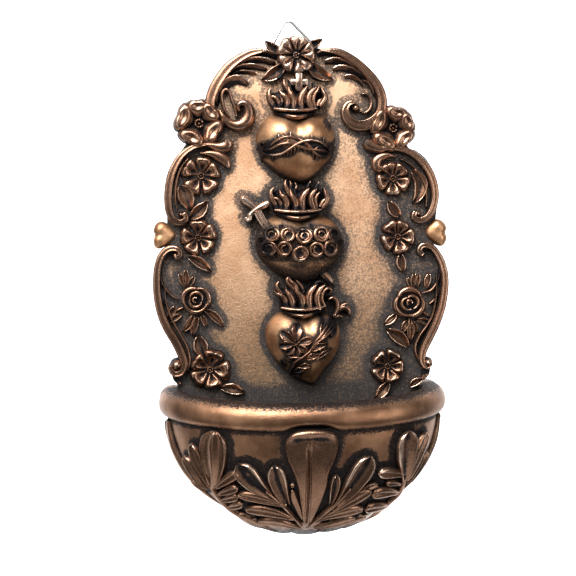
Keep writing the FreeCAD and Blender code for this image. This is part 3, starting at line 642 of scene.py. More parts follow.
keep("thornCrown", thornShells(thornSettings), "relief_bronze", "relief", 0.6)

# each rose of the garland: place, radius, where its open side points, and whether it has a full heart
garlandSettings = {
    "swell": 1.2,
    "roses": [
        ((-12.2, -0.7), 2.75, 70, True), ((-5.5, -0.8), 2.65, 250, False), ((1.2, -1.5), 2.85, 120, True),
        ((8.4, -0.7), 2.9, 40, True), ((13.8, -1.1), 2.4, 10, False), ((-13.3, -6.6), 2.75, 200, False),
        ((-7.0, -6.7), 2.65, 300, False), ((-0.4, -8.9), 2.85, 100, False), ((6.4, -7.2), 2.7, 330, False),
        ((12.6, -6.9), 2.9, 150, False), ((-16.2, -3.6), 1.6, 90, True), ((16.9, -4.4), 1.7, 270, True)],
    "leaves": [(-9.4, -3.6, 20), (-2.4, -4.6, 80), (4.6, -3.8, 140), (10.6, -4.0, 60), (-16.4, -7.4, 100),
               (3.2, -9.8, 10), (-10.4, -9.2, 160), (15.6, -8.4, 70), (-9.0, 1.6, 40), (4.9, 1.4, 110)],
}


# a small rolled rose: a wall of petals round a dark hollow
def rosette(middle, radius, turn, full, ground, high=2.6):
    mx, mz = middle

    def bed(rho, q):
        return high * (0.34 + 0.2 * rho ** 2) * np.clip(1 - rho ** 10, 0, 1) ** 0.5

    shells = [pad(circle(middle, radius * 0.98), middle, bed, ground)]

    def arc(r, start, end, half, tall, dx=0.0, dz=0.0):
        angles = np.radians(np.linspace(start, end, max(6, int(abs(end - start) / 22))))
        path = [(mx + dx + r * math.cos(a), mz + dz + r * math.sin(a)) for a in angles]
        back = 1.1 * half
        widths = [0.3 * half, half, half, half, 0.3 * half]
        shells.append(strip(path, widths, back, "round", ground, sink=0.8, lift=tall - back))

    arc(radius * 0.8, turn, turn + 250, radius * 0.23, high)
    arc(radius * 0.84, turn + 200, turn + 390, radius * 0.23, high * 0.9)
    arc(radius * 0.46, turn + 140, turn + 330, radius * 0.16, high * 0.82, radius * 0.06, -radius * 0.04)
    if full:
        arc(radius * 0.34, turn - 30, turn + 150, radius * 0.12, high * 0.9)
        heart = (mx + radius * 0.1, mz + radius * 0.02)
        shells.append(bead(heart, radius * 0.2, 0.8, ground, lift=high * 0.2))
    return shells


def garlandShells(s):
    ground = onHeart("middle")
    shells = []
    for middle, radius, turn, full in s["roses"]:
        shells += rosette(middle, radius * s["swell"], turn, full, ground)
    for x, z, tilt in s["leaves"]:
        a = math.radians(tilt)
        path = [(x, z), (x + 1.2 * math.cos(a), z + 1.2 * math.sin(a)),
                (x + 2.6 * math.cos(a), z + 2.2 * math.sin(a))]
        shells.append(strip(path, [0.3, 0.8, 0.1], 1.3, "leaf", ground, sink=0.6))
    return shells


keep("roseGarland", garlandShells(garlandSettings), "relief_bronze", "relief", 0.6)

swordSettings = {
    # half-widths along the grip and the blade
    "gripHalf": pairs("0,1.45 0.1,1.8 0.3,1.6 0.8,1.45 1,1.6"),
    "bladeHalf": pairs("0,1.3 0.25,1.5 0.6,1.35 1,0.15"),
    "grip": pairs("-23,13.9 -20.5,11.9 -17.6,9.6"),
    "guard": pairs("-12.6,12.2 -15.2,10.9 -17.8,9.4 -20.3,7.2 -20.6,5.4 -21.7,5.1 -22.2,6.3"),
    "bladeIn": pairs("-17.6,8.6 -15.8,5.4 -14.2,2.6 -13.6,0.6"),
    "bladeOut": pairs("8.4,-16 10.6,-18.2 12.8,-20.6 14.7,-23.2"),
    "scar": pairs("7.4,-16.1 9.2,-14.2 10.8,-12.4"),
}


def hiltShells(s):
    x, z = s["grip"][0]
    return [strip(s["grip"], s["gripHalf"], 1.8, "round", lift=3.3),
            strip(s["guard"], [(0, 1.05), (0.08, 1.35), (0.4, 1.35), (0.6, 1.2), (0.8, 0.95), (1, 0.5)],
                  [1.3, 1.6, 1.6, 1.3, 1.1, 0.8], "round", lift=4.2),
            strip(s["bladeIn"], [1.6, 1.75, 1.6, 1.2], [1.6, 1.6, 1.6, 1.4], "keel", lift=5.4),
            bead((x - 0.2, z + 0.1), 1.25, 1.4, lift=3.4),
            bead((-13.6, 11.8), 0.55, 0.5, lift=5.5)]


def pointShells(s):
    return [strip(s["bladeOut"], s["bladeHalf"], [1.6, 1.6, 1.4, 0.8], "keel",
                  lift=4.0),
            strip(s["scar"], [0.2, 0.5, 0.2], 0.8, "round", onHeart("middle"))]


keep("swordHilt", hiltShells(swordSettings), "relief_bronze", "rubbed", 0.8)
keep("swordPoint", pointShells(swordSettings), "relief_bronze", "relief", 0.5)

lilySettings = {
    "bloom": (-2.5, -46.0),
    "petalSwell": (1.16, 1.2),
    "stemSwell": 1.35,
    "leafSwell": 1.45,
    "petals": [
        (82, 7.2, 2.3), (138, 6.8, 2.1), (186, 5.8, 1.8), (226, 5.0, 1.6), (268, 5.0, 1.7), (318, 4.8, 1.6),
        (12, 6.0, 1.8)],
    "stems": rows(
        "-4.8,-59.7 -2.7,-54.1 0.6,-51.5 3.6,-48.9 5.3,-45.6 8,-42.3 10.7,-39 13,-36.4 14.4,-34.6 | 0.6",
        "7.6,-44.4 13,-38.9 15.4,-36.2 | 0.5",
        "4.1,-47.3 8.1,-44.4 12.2,-41.6 15.7,-38.6 | 0.55",
        "7.5,-42.3 8,-39 9.2,-36.2 8.4,-34.4 | 0.5",
        "0,-52 -3.8,-51.8 -6.2,-52.6 | 0.45"),
    "leaves": rows(
        "3.6,-49.2 11,-46.2 | 1.3",
        "8.2,-50.8 9.2,-46.8 | 0.9",
        "1.3,-52.5 7.6,-51.2 | 1.2",
        "-1.4,-56.1 4.2,-55.6 | 1.1",
        "-3.4,-58.8 1.6,-56.6 | 1.1",
        "-4.4,-60.2 0.2,-59.9 | 1",
        "-8.4,-53.2 -6.7,-56.6 | 0.7",
        "-6.8,-51.6 -4,-53.4 | 0.7",
        "5.3,-53.2 13.3,-48.4 | 0.8",
        "12.4,-44 15.4,-40.6 | 0.8",
        "4.6,-50.8 10.4,-52.6 | 0.8"),
    "buds": rows(
        "13.8,-35.8 16,-33 18.4,-31.8 20.4,-32.8 21.2,-35.4 | 0.6 0.9 1.2 1.2 0.3 | 1.6 4",
        "14.6,-34.8 15.8,-31.8 15.4,-29 13.6,-27.6 11.8,-28.4 | 0.5 0.7 0.9 0.9 0.3 | 1.4 5.2",
        "15.4,-34.2 17.6,-31 20.2,-30 | 0.4 0.8 0.3 | 1.4 4.2",
        "14.2,-36.4 16.4,-35.4 18.2,-36 | 0.4 1 0.3 | 1.4 3.8"),
}


def lilyShells(s):
    ground = onHeart("lower")
    bx, bz = s["bloom"]
    shells = []
    longer, wider = s["petalSwell"]
    for turn, long, half in s["petals"]:
        long, half = long * longer, half * wider
        a = math.radians(turn)
        path = [(bx + r * math.cos(a + bend), bz + r * math.sin(a + bend))
                for r, bend in ((0.5, 0), (long * 0.5, 0.05), (long * 0.8, 0.03), (long, -0.04))]
        widths = [(0, 0.4), (0.35, half * 0.7), (0.65, half), (0.88, half * 0.7), (1, 0.15)]
        shells.append(strip(path, widths, [0.9, 1.8, 2.5, 1.8], "leaf", ground, sink=0.8))
        mid = (bx + 1.9 * math.cos(a + 0.3), bz + 1.9 * math.sin(a + 0.3))
        shells.append(strip([(bx, bz), ((bx + mid[0]) / 2, (bz + mid[1]) / 2), mid], [0.2, 0.22, 0.3],
                            [2.2, 2.4, 2.2], "round", ground, sink=0.5))
    for path, half in s["stems"]:
        half = half * s["stemSwell"]
        shells.append(strip(path, [0.3, half, half, half, 0.35], 2.0, "round", ground, sink=1.0))
    for (foot, tip), half in s["leaves"]:
        half = half * s["leafSwell"]
        mid = ((foot[0] + tip[0]) / 2, (foot[1] + tip[1]) / 2 + 0.4)
        shells.append(strip([foot, mid, tip], [(0, 0.3), (0.5, half), (1, 0.12)], 2.0, "leaf", ground,
                            sink=0.8))
    # the curled buds that rise clear of the heart
    for path, widths, back, lift in s["buds"]:
        shells.append(strip(path, widths, back, "round", lift=lift))
    return shells


keep("lilySpray", lilyShells(lilySettings), "relief_bronze", "relief", 0.45)
print("thorns, garland, sword and lily made")


# ---- flowers, roses and leaves of the frame ----

flowers = {
    "crestFlower": {
        "middle": (-0.5, 73.0), "radius": 8.2, "eye": 1.5, "kind": "split", "high": 4.4,
        "petals": pairs("0.3,78 4.8,74.2 1.6,68.6 -4.8,69.8 -5.2,76")},
    "shoulderFlowerLeft": {
        "middle": (-41, 45), "radius": 10.0, "eye": 2.1, "kind": "cushion", "high": 5.0,
        "petals": pairs("-41.5,52 -35,50.5 -35.5,41.5 -43.5,40 -47.5,47.5")},
    "shoulderFlowerRight": {
        "middle": (40, 43), "radius": 9.6, "eye": 2.0, "kind": "cushion", "high": 5.0,
        "petals": pairs("41.5,50.5 46.5,45.5 44.5,38.5 36.8,38 34,45.5")},
    "upperFlowerLeft": {
        "middle": (-40.5, 23.5), "radius": 8.4, "eye": 1.6, "kind": "heart", "high": 4.4,
        "petals": pairs("-39.5,29.5 -34.5,26 -37,19 -44,19 -46.3,27")},
    "upperFlowerRight": {
        "middle": (40, 22), "radius": 7.7, "eye": 1.5, "kind": "heart", "high": 4.4,
        "petals": pairs("37.8,27.4 44,26.2 45.2,19.6 40,16.4 34.8,20.5")},
    "waistFlowerLeft": {
        "middle": (-42, -2), "radius": 7.9, "eye": 1.5, "kind": "heart", "high": 4.4,
        "petals": pairs("-42,3.5 -36.5,0.5 -38,-6 -44.8,-7 -47.5,-1.4")},
    "waistFlowerRight": {
        "middle": (42, -2.5), "radius": 7.7, "eye": 1.5, "kind": "heart", "high": 4.4,
        "petals": pairs("38.5,2 44.2,2.8 47.6,-2.4 43.4,-7.6 37.2,-5")},
    "lowerFlowerLeft": {
        "middle": (-37.8, -57.4), "radius": 8.9, "eye": 1.5, "kind": "heart", "high": 4.4,
        "petals": pairs("-43,-54 -36.3,-52 -32,-58 -36.5,-63 -43,-61")},
    "lowerFlowerRight": {
        "middle": (37.5, -57.5), "radius": 7.7, "eye": 1.4, "kind": "heart", "high": 4.4,
        "petals": pairs("33.3,-53.3 40.2,-52.5 43.4,-58 40,-63.4 33.6,-61")},
}


# the outline of a petal from its left half: along it and across it
def petalOutline(text):
    half = pairs(text)
    return half + [(a, -b) for a, b in half[-2:0:-1]]


# widest: half-width by length; edge: how square its sides are; foot: how low it starts and where it is full
petals = {
    "heart": {
        "outline": petalOutline("0.06,0 0.22,0.24 0.42,0.58 0.6,0.86 0.75,1 0.88,0.9 0.97,0.58 0.99,0.28 "
                                "0.945,0"),
        "widest": 0.49, "edge": 4.4, "foot": 0.28, "footEnds": (0.0, 0.8), "floor": 0.78, "valley": 0.5,
        "valleyWide": 0.72, "valleyEnds": (0.4, 0.78), "notch": 0.1, "tipDrop": 0.24},
    "split": {
        "outline": petalOutline("0.1,0 0.22,0.2 0.42,0.52 0.6,0.82 0.76,1 0.9,0.86 0.99,0.48 0.96,0"),
        "widest": 0.56, "edge": 7, "foot": 0.72, "footEnds": (0.05, 0.6), "crease": 0.4, "creaseWide": 0.11,
        "creaseEnds": (0.55, 0.85)},
    "cushion": {
        "outline": petalOutline("0.12,0 0.2,0.26 0.36,0.6 0.52,0.89 0.67,1 0.82,0.97 0.93,0.78 1,0.42 "
                                "0.97,0"),
        "widest": 0.6, "edge": 4.2, "foot": 0.34, "footEnds": (0.02, 0.62), "dish": 0.2, "dishPlace": 0.66,
        "dishSize": (0.14, 0.42)},
}
# the turn between five even petals
evenRoom = 1.2566
rng = np.random.default_rng(11)


# how high a petal of one kind stands at a along it and b across it
def petalHeight(s, a, b, rho):
    body = np.clip(1 - rho ** s["edge"], 0, 1) ** 0.5
    slope = s["foot"] + (1 - s["foot"]) * smoothstep(*s["footEnds"], a)
    if "dish" in s:
        long, wide = s["dishSize"]
        body = body - s["dish"] * np.exp(-((a - s["dishPlace"]) / long) ** 2 - (b / wide) ** 2)
    if "crease" in s:
        inner = 1 - smoothstep(*s["creaseEnds"], a)
        body = body - s["crease"] * np.exp(-(b / s["creaseWide"]) ** 2) * inner
    if "valley" in s:
        ends = 1 - smoothstep(*s["valleyEnds"], a)
        across = np.clip(np.abs(b) / np.clip(s["valleyWide"] * a, 0.1, 1), 0, 1)
        valley = s["valley"] * (1 - across ** 1.2) * ends
        notch = s["notch"] * np.exp(-(b / 0.16) ** 2) * smoothstep(0.82, 0.98, a)
        body = body * (s["floor"] + (1 - s["floor"]) * smoothstep(0.5, 0.85, rho) * ends - valley - notch)
        slope = slope - s["tipDrop"] * smoothstep(0.8, 1.02, a)
    return body * slope


# a petal that points from the flower's middle along turn
def petal(middle, turn, long, half, high, s):
    cos, sin = math.cos(turn), math.sin(turn)
    mx, mz = middle
    outline = [(mx + a * long * cos - b * half * sin, mz + a * long * sin + b * half * cos)
               for a, b in s["outline"]]
    tilt = rng.uniform(-0.12, 0.12)

    def rise(rho, q):
        x, z = q[:, 0] - mx, q[:, 1] - mz
        a, b = (x * cos + z * sin) / long, (z * cos - x * sin) / half
        return high * petalHeight(s, a, b, rho) * (1 + tilt * b)

    return pad(outline, (mx + 0.62 * long * cos, mz + 0.62 * long * sin), rise, sink=3.2)


def flowerShells(s):
    mx, mz = s["middle"]
    shells = [pad(circle(s["middle"], s["radius"] * 0.62), s["middle"],
                  lambda rho, q: s["high"] * 0.2 * np.clip(1 - rho ** 6, 0, 1))]
    turns = [math.atan2(z - mz, x - mx) for x, z in s["petals"]]
    order = sorted(range(len(turns)), key=lambda k: turns[k])
    kind = petals[s["kind"]]
    for n, k in enumerate(order):
        before = turns[order[n - 1]]
        after = turns[order[(n + 1) % len(order)]]
        room = ((after - before) % (2 * math.pi)) / 2
        long = s["radius"] * rng.uniform(0.97, 1.04)
        half = min(kind["widest"] * 1.06, kind["widest"] * room / evenRoom) * long
        shells.append(petal(s["middle"], turns[k], long, half, s["high"], kind))
    eye = s["eye"]
    ringPath = [(mx + eye * 0.75 * math.cos(a), mz + eye * 0.75 * math.sin(a))
                for a in np.linspace(0, 5.8, 12)]
    shells.append(strip(ringPath, eye * 0.24, s["high"] * 0.5, "round"))
    for a in np.linspace(0, 2 * math.pi, 6, endpoint=False):
        spot = (mx + eye * 0.72 * math.cos(a + 0.4), mz + eye * 0.72 * math.sin(a + 0.4))
        shells.append(bead(spot, eye * 0.3, s["high"] * 0.24, lift=s["high"] * 0.36))
    shells.append(bead(s["middle"], eye * 0.3, s["high"] * 0.2, lift=s["high"] * 0.26))
    return shells


for name, s in flowers.items():
    shells = flowerShells(s)
    if name == "shoulderFlowerLeft":
        # the small curl beside this flower
        shells.append(strip(pairs("-31.4,48.8 -31.6,46.4 -33.2,45.6 -34.4,46.8 -33.6,48"), 0.55, 3.0))
    keep(name, shells, "relief_bronze", "petals" if s["kind"] == "split" else "relief", 0.7)

# crescents: where the open side points, radius, offset, how far round, half-width and height
roses = {
    "roseLeft": {"middle": (-43.3, -27.9), "radius": 6.2, "high": 4.4, "turn": 20},
    "roseRight": {"middle": (46.8, -30.6), "radius": 6.9, "high": 4.4, "turn": -35},
}
crescents = [
    (0, 0.76, 0.14, 175, 0.19, 0.7), (125, 0.74, 0.16, 165, 0.19, 0.78), (245, 0.74, 0.14, 170, 0.18, 0.74),
    (60, 0.42, 0.12, 200, 0.13, 0.9), (230, 0.4, 0.1, 210, 0.12, 0.96), (150, 0.17, 0.04, 230, 0.09, 1.0)]


def roseShells(s):
    mx, mz = s["middle"]
    r, high = s["radius"], s["high"]
    shells = [pad(circle(s["middle"], r * 0.9), s["middle"],
                  lambda rho, q: high * (0.3 + 0.1 * rho ** 2) * np.clip(1 - rho ** 12, 0, 1) ** 0.5)]
    for turn, radius, offset, wide, half, tall in crescents:
        way = math.radians(turn + s["turn"])
        x, z = mx + offset * r * math.cos(way), mz + offset * r * math.sin(way)
        angles = way + np.radians(np.linspace(-wide / 2, wide / 2, 11))
        path = [(x + radius * r * math.cos(a), z + radius * r * math.sin(a) * 0.94) for a in angles]
        back = half * r * 1.3
        widths = [0.05 * r, half * r * 0.8, half * r, half * r * 0.8, 0.05 * r]
        shells.append(strip(path, widths, back, "round", lift=high * tall - back))
    return shells


for name, s in roses.items():
    keep(name, roseShells(s), "relief_bronze", "relief", 0.6)


# a leaf from its foot to its tip; bow swings its middle sideways
def leaf(foot, tip, half, bow=0.0, high=2.4, section="leaf", ground=onPlate, sink=1.6):
    fx, fz = foot
    tx, tz = tip
    dx, dz = tx - fx, tz - fz
    path = [foot, (fx + 0.35 * dx - bow * dz, fz + 0.35 * dz + bow * dx),
            (fx + 0.7 * dx - bow * 0.8 * dz, fz + 0.7 * dz + bow * 0.8 * dx), tip]
    widths = scaled(half, "0,0.28 0.16,0.7 0.42,1 0.66,0.84 0.88,0.4 1,0.05")
    return strip(path, widths, high, section, ground, sink)


leafGroups = {
    "crestLeaves": rows(
        "-6,73.8 -13.4,78.9 | 2.1 0.06",
        "3.6,76.6 10.6,79.8 | 2 -0.06",
        "-5.6,69.4 -15.2,62.8 | 3.1 0.08",
        "4.6,70 14.8,63.2 | 3.4 -0.08"),
    "sideLeavesLeft": rows(
        "-49.2,19.4 -45.2,9.2 | 3.9 0.05",
        "-45.2,6.2 -38,13 | 3.1 -0.06",
        "-46,-10 -36.6,-16.4 | 2.5 0.05",
        "-39.8,-51.4 -42.2,-42.4 | 3.7 0.08",
        "-33,-65.2 -23.2,-67.4 | 2.7 0.05"),
    "sideLeavesRight": rows(
        "48.2,25.4 48.4,11.2 | 3.3 0.24",
        "42.8,6.2 37.8,12.8 | 2.8 0.05",
        "43.2,-9.8 44.4,-17.6 | 2.4 -0.05",
        "46.2,-49 36.6,-41.6 | 3.1 -0.06",
        "37.8,-64.2 32,-71.4 | 2.7 0.05",
        "47,-66.2 53,-63 | 1.9 0.05"),
    "roseLeavesLeft": rows(
        "-47.6,-22.4 -50.2,-16.4 | 1.5 0",
        "-47.2,-22.4 -47.4,-14.8 | 1.7 0",
        "-46.4,-22.4 -43.6,-17.8 | 1.4 0",
        "-51.8,-30.4 -55.2,-36 | 1.6 0",
        "-49.4,-33.8 -54.9,-37.2 | 1.5 0",
        "-44.4,-34.6 -49.2,-41.4 | 1.9 0.05",
        "-42.5,-35.2 -45,-43.4 | 1.7 -0.05",
        "-39.5,-32.2 -31.8,-39.6 | 2 0.06",
        "-40.9,-34.6 -39,-39.4 | 1.4 0"),
    "roseLeavesRight": rows(
        "47.6,-23.8 46,-19.4 | 1.2 0",
        "48.6,-23.6 49.1,-17.6 | 1.5 0",
        "50.2,-23.6 51.2,-18.2 | 1.3 0",
        "54,-24.2 55.6,-17.6 | 1.6 0",
        "41.3,-35.2 35.8,-39.7 | 1.8 0.06",
        "46.2,-38 43.7,-43.2 | 1.7 0",
        "47.3,-38.2 47.1,-47.2 | 1.9 0.04",
        "48.4,-38.6 50.4,-43.8 | 1.5 0",
        "50.4,-37.8 57,-39.4 | 1.6 0"),
}
branches = {
    "roseLeavesLeft": [
        pairs("-57.4,-11.1 -57.9,-16.2 -57.1,-20.9 -54.2,-25.2 -50.5,-27.8"),
        pairs("-59.4,-19.6 -58,-26.4 -54.3,-31.6"), [(-48.6, -31.0), (-51.6, -32.4)],
        pairs("-44.6,-33.4 -46.8,-37.8 -49,-41")],
    "roseLeavesRight": [
        pairs("52.2,-26.5 56.6,-25.1 59.4,-20.8 60.1,-16"), pairs("55.7,-31.1 58.4,-28.6 60,-24.2"),
        [(52.6, -34.4), (55.4, -36.4)], pairs("46.8,-37.2 47.2,-41.8 47.1,-46")],
}

for name, group in leafGroups.items():
    high = 2.3 if "rose" in name else 2.9
    shells = [leaf(foot, tip, half, bow, high) for (foot, tip), half, bow in group]
    for path in branches.get(name, []):
        shells.append(strip(path, [0.5, 0.75, 0.75, 0.3], 2.0))
    keep(name, shells, "leaf_bronze", "relief", 0.75)
print("flowers, roses and leaves made")


# ---- scrolls and feathers of the frame ----

# paths with their half-widths, height, section and how far they reach behind the plate's face
scrolls = {
    "archScrollLeft": rows(
        "-12.5,75 -19.3,73.8 -24.8,70.9 -28.8,67.6 -31.5,64.2 -33.6,61 -35.2,57.6 -36.2,54 -36.4,50 | "
        "0,0.6 0.15,1.7 0.5,2.3 0.8,2.4 1,2.2 | 4 moulding 4.6",
        "-32.6,50.4 -31,47.4 -28.4,45 -25.2,44.1 -22.2,45.3 -20.5,48 -20.5,51 -22,53.2 -24.2,53 -25,51.2 "
        "-24.2,49.9 | 0,0.8 0.15,1.6 0.35,2.4 0.5,2.9 0.64,2.6 0.8,1.7 0.92,1.1 1,0.7 | 4.8 round 1.6",
        "-25.6,48 -26.2,51.6 -27.4,54.8 -28.2,57.6 -29.8,58.9 -31.3,57.4 -31.4,54.2 -30.4,50.6 -28.4,47.6 "
        "| 0.5 0.75 0.8 0.8 0.8 0.75 0.5 | 3.4 round 1.2"),
    "archScrollRight": rows(
        "9,75.2 16.4,74.4 21.2,72.2 25.6,69 29.8,64.9 33,60.8 34.8,56.6 35.2,52.6 34,48.6 30.9,45.6 "
        "27,44.2 23,44.9 20.4,47.4 19.6,50.4 21,53 24,53.9 | 0,0.6 0.12,1.7 0.35,2.2 0.6,2.3 0.72,2.6 "
        "0.82,2.4 0.92,1.7 1,0.9 | 4.2 moulding 4.6",
        "27,62.9 29.6,61.7 31.2,59.2 31.9,56.6 | 0.2 0.7 0.7 0.2 | 3 round 1.2",
        "26.4,57.2 28.8,57.2 30.4,55.5 30.7,53.2 29.9,50.8 28,49.4 26.2,50 | 0.2 0.65 0.75 0.7 0.3 | 3 "
        "round 1.2"),
    "shoulderScrollLeft": rows(
        "-38,36.4 -41.5,36 -45,34.6 -48.6,31.6 -51.2,27.6 -52.9,23.4 -53.9,18.5 -54.2,13.5 -53.8,9 "
        "-52.4,5.9 -50.2,4.4 -48,4.6 -46.9,6.3 -47.8,8.2 | 0,0.7 0.15,1.3 0.4,1.75 0.62,1.75 0.8,1.6 "
        "0.92,1.4 1,1.1 | 3.9 moulding 4.6",
        "-29.6,38.4 -29.6,36.2 -32,35.2 -36.4,36.1 -40.5,36.6 | 0,1.5 0.12,2.7 0.32,2.7 0.65,1.4 1,0.3 | "
        "4.4 round 1.4",
        "-45.6,30.8 -48.2,27.6 -50,23.6 -51,19 -51.2,14 -50.6,9.6 | 0.2 0.5 0.6 0.55 0.25 | 2.9 round 1.2",
        "-40.6,32.8 -36.8,32.8 -33,31.6 -30.4,29.6 -28.9,26.8 | 0,0.3 0.3,1.5 0.6,2.3 0.85,2.1 1,0.8 | 3.6 "
        "round 1.4"),
    "shoulderScrollRight": rows(
        "36.4,35.2 40.5,34.6 44.4,34 48.2,32.2 52,29 55.2,24.8 57.1,20.1 57.8,15 57.1,10.4 55.3,6.6 "
        "52.8,4.8 50.2,4.6 48.6,6.1 49.2,8.1 | 0,0.7 0.15,1.4 0.4,1.8 0.62,1.8 0.8,1.6 0.92,1.4 1,1.1 | "
        "3.9 moulding 4.6",
        "28,37.6 30.4,35.8 33.8,34.6 37.8,34.6 41.4,34.8 | 0,1.4 0.12,2.6 0.35,2.3 0.7,1.3 1,0.3 | 4.4 "
        "round 1.4",
        "43,30.2 47.8,27.6 51.2,23.8 53.4,19.4 54.2,14.6 53.9,10 | 0.2 0.5 0.6 0.55 0.25 | 2.9 round 1.2",
        "41,31.2 37.8,31.8 34.8,31 32.8,28.8 33.6,26.4 35.8,26.6 | 0,0.3 0.3,1.4 0.6,2.3 0.85,2.1 1,0.9 | "
        "3.6 round 1.4"),
    "flankScrollLeft": rows(
        "-51.6,-10.4 -49.6,-9.4 -50,-7.2 -52.4,-6.3 -55,-7 -57.2,-9.3 -58.6,-12.8 -59.3,-17 -59.4,-23.5 "
        "-58.7,-29.5 -57.3,-35 -55,-40.2 -52.4,-44.6 -50.6,-48.2 -49.2,-51.8 -48.6,-55 -49.8,-58 "
        "-52.2,-58.8 -54,-57.2 -54.2,-55.2 | 0,1 0.06,1.3 0.14,1.5 0.3,1.6 0.5,1.8 0.75,2 0.92,1.7 1,1 | "
        "3.9 moulding 4.6",
        "-52.6,-58 -51.6,-61 -50.4,-63.6 | 0,1.6 0.5,1.7 1,0.8 | 1.8 round 4.6",
        "-56,-20 -55.9,-27 -54.4,-33.4 -52.2,-38.2 -49.2,-43.6 -46.8,-49 -46.2,-53.6 -47.4,-57.2 "
        "-50.2,-59.2 | 0,0.1 0.3,0.4 0.55,0.6 0.9,0.6 1,0.3 | 3 round 1.2"),
    "flankScrollRight": rows(
        "52.4,-10.2 51,-8.6 52,-6.5 54.6,-6.2 57.2,-7.8 59.3,-10.8 61,-14.6 62,-19.4 61.9,-25 60.7,-32.2 "
        "58.5,-38.8 55.9,-44.4 53.6,-49 52.4,-52.4 52.4,-55.6 53.8,-57.8 55.4,-57.2 55.8,-55.6 | 0,1 "
        "0.06,1.3 0.14,1.5 0.3,1.7 0.5,1.9 0.75,2 0.9,1.7 1,1 | 3.9 moulding 4.6",
        "54.8,-58.2 54,-61.2 52.8,-63.6 | 0,1.6 0.5,1.7 1,0.8 | 1.8 round 4.6",
        "58.6,-18 58.4,-27 57,-35 54.6,-40 51.2,-44.7 49.4,-49 49.9,-53.2 51.6,-55.6 | 0,0.1 0.3,0.4 "
        "0.6,0.6 0.9,0.6 1,0.3 | 3 round 1.2"),
}
scrollBeads = {
    "archScrollLeft": [],
    "archScrollRight": [((24.2, 51.4), 1.9, 3.6)],
    "shoulderScrollLeft": [((-48.9, 7.6), 1.3, 3.8)],
    "shoulderScrollRight": [((50.6, 7.2), 1.3, 3.8)],
    "flankScrollLeft": [((-51.6, -9.4), 1.5, 3.4), ((-51.6, -55.2), 3.0, 5.0)],
    "flankScrollRight": [((52.4, -9.8), 1.5, 3.4), ((54.9, -56.2), 2.3, 4.6)],
}

for name, strips in scrolls.items():
    shells = [strip(path, widths, 0.6 * high, section, sink=sink, lift=0.4 * high, flip="Right" in name)
              for path, widths, high, section, sink in strips]
    shells += [bead(middle, radius, high) for middle, radius, high in scrollBeads[name]]
    keep(name, shells, "relief_bronze", "relief", 0.55)

# the tongues of the arch, outermost first, from the crest outwards
feathers = {
    "archFeathersLeft": {
        "flip": True,
        "rows": rows(
            "-7.2,72.2 -13.2,73.9 -19,72.6 -24.4,69.8 | 1.35 3.7",
            "-9.2,69.6 -14.2,71 -19.4,70.8 -23.6,69 -28,65.8 | 1.25 3.4",
            "-12.8,67.2 -17.5,68.4 -22.6,68.2 -26.6,66.6 -29.6,63.8 | 1.2 3.1",
            "-20.6,61.4 -23.6,63 -27,62.8 -30.2,60.4 -32.4,56.8 -33.4,52.6 | 2 3.4",
            "-17,65.4 -21.6,66.2 -25.6,65.6 -29,63 | 0.8 2.2")},
    "archFeathersRight": {
        "flip": False,
        "rows": rows(
            "8.2,73.4 12.2,74.4 16.3,73.5 20.6,71.4 | 1.3 3.7",
            "11.4,70.4 16.2,71 20.4,69.6 24.6,67 27.8,64.4 | 1.35 3.4",
            "14.8,67.4 18.4,68 22.6,67 26.4,64.6 28.8,62 | 1.3 3.1",
            "19.6,64.4 22.6,64.4 25.4,62.8 27.6,60.2 | 0.9 2.5")},
}

for name, s in feathers.items():
    shells = []
    for path, half, high in s["rows"]:
        shells.append(strip(path, [(0, half * 0.55), (0.1, half), (0.5, half * 1.05), (0.85, half * 0.6),
                                   (1, half * 0.2)], [high * 0.8, high, high * 0.95, high * 0.7], "feather",
                            flip=s["flip"]))
    keep(name, shells, "relief_bronze", "relief")

bosses = {
    "sideBossLeft": {
        "outline": pairs("-51.4,-0.9 -53.6,2.9 -56.6,4.8 -59.2,4 -60.5,1.2 -60,-0.8 -60.6,-3.4 -59.8,-6 "
                         "-57.4,-6.4 -54,-4.2"), "middle": (-57.0, -0.8),
        "lobes": [(-57.8, 2.4), (-58.2, -3.6)], "cleft": (-60.6, -0.8)},
    "sideBossRight": {
        "outline": pairs("54.2,-1.2 55.4,2.2 58.6,4.8 61.6,3.9 63.2,1.4 62.9,-0.9 63.3,-3.6 61.8,-6.4 "
                         "59.4,-6.4 56.4,-4.2"), "middle": (59.4, -0.9),
        "lobes": [(60.0, 2.2), (60.2, -3.6)], "cleft": (63.4, -0.9)},
}

for name, s in bosses.items():
    def rise(rho, q, s=s):
        dome = np.clip(1 - rho ** 3, 0, 1) ** 0.55
        high = 2.5 * dome
        for lobe in s["lobes"]:
            high = high + 0.6 * np.exp(-np.sum((q - np.array(lobe)) ** 2, axis=1) / 8) * dome
        notch = np.exp(-np.sum((q - np.array(s["cleft"])) ** 2 / np.array([6, 1.4]), axis=1))
        return high - 0.9 * notch * dome

    keep(name, [pad(s["outline"], s["middle"], rise, sink=6.0)], "heart_bronze", "boss", 0.25)
print("scrolls, feathers and side bosses made")


# ---- leaves of the bowl ----

frontLeaf = {
    "outline": pairs("2,-76.2 6.2,-76.6 9.6,-77.8 11.2,-80.4 11.3,-84.2 10.2,-88.7 8,-94 7.2,-100.2 "
                     "5.6,-106.6 3.4,-114.2 1,-122.6 -0.2,-122.6 -1.6,-116 -2.8,-108.4 -4,-101 "
                     "-5.2,-96.4 -6.6,-92.6 -8.6,-87.8 -9.5,-83.6 -9,-80 -6.2,-77.2 -2,-76.3"),
    "middle": (0.8, -89.0),
}


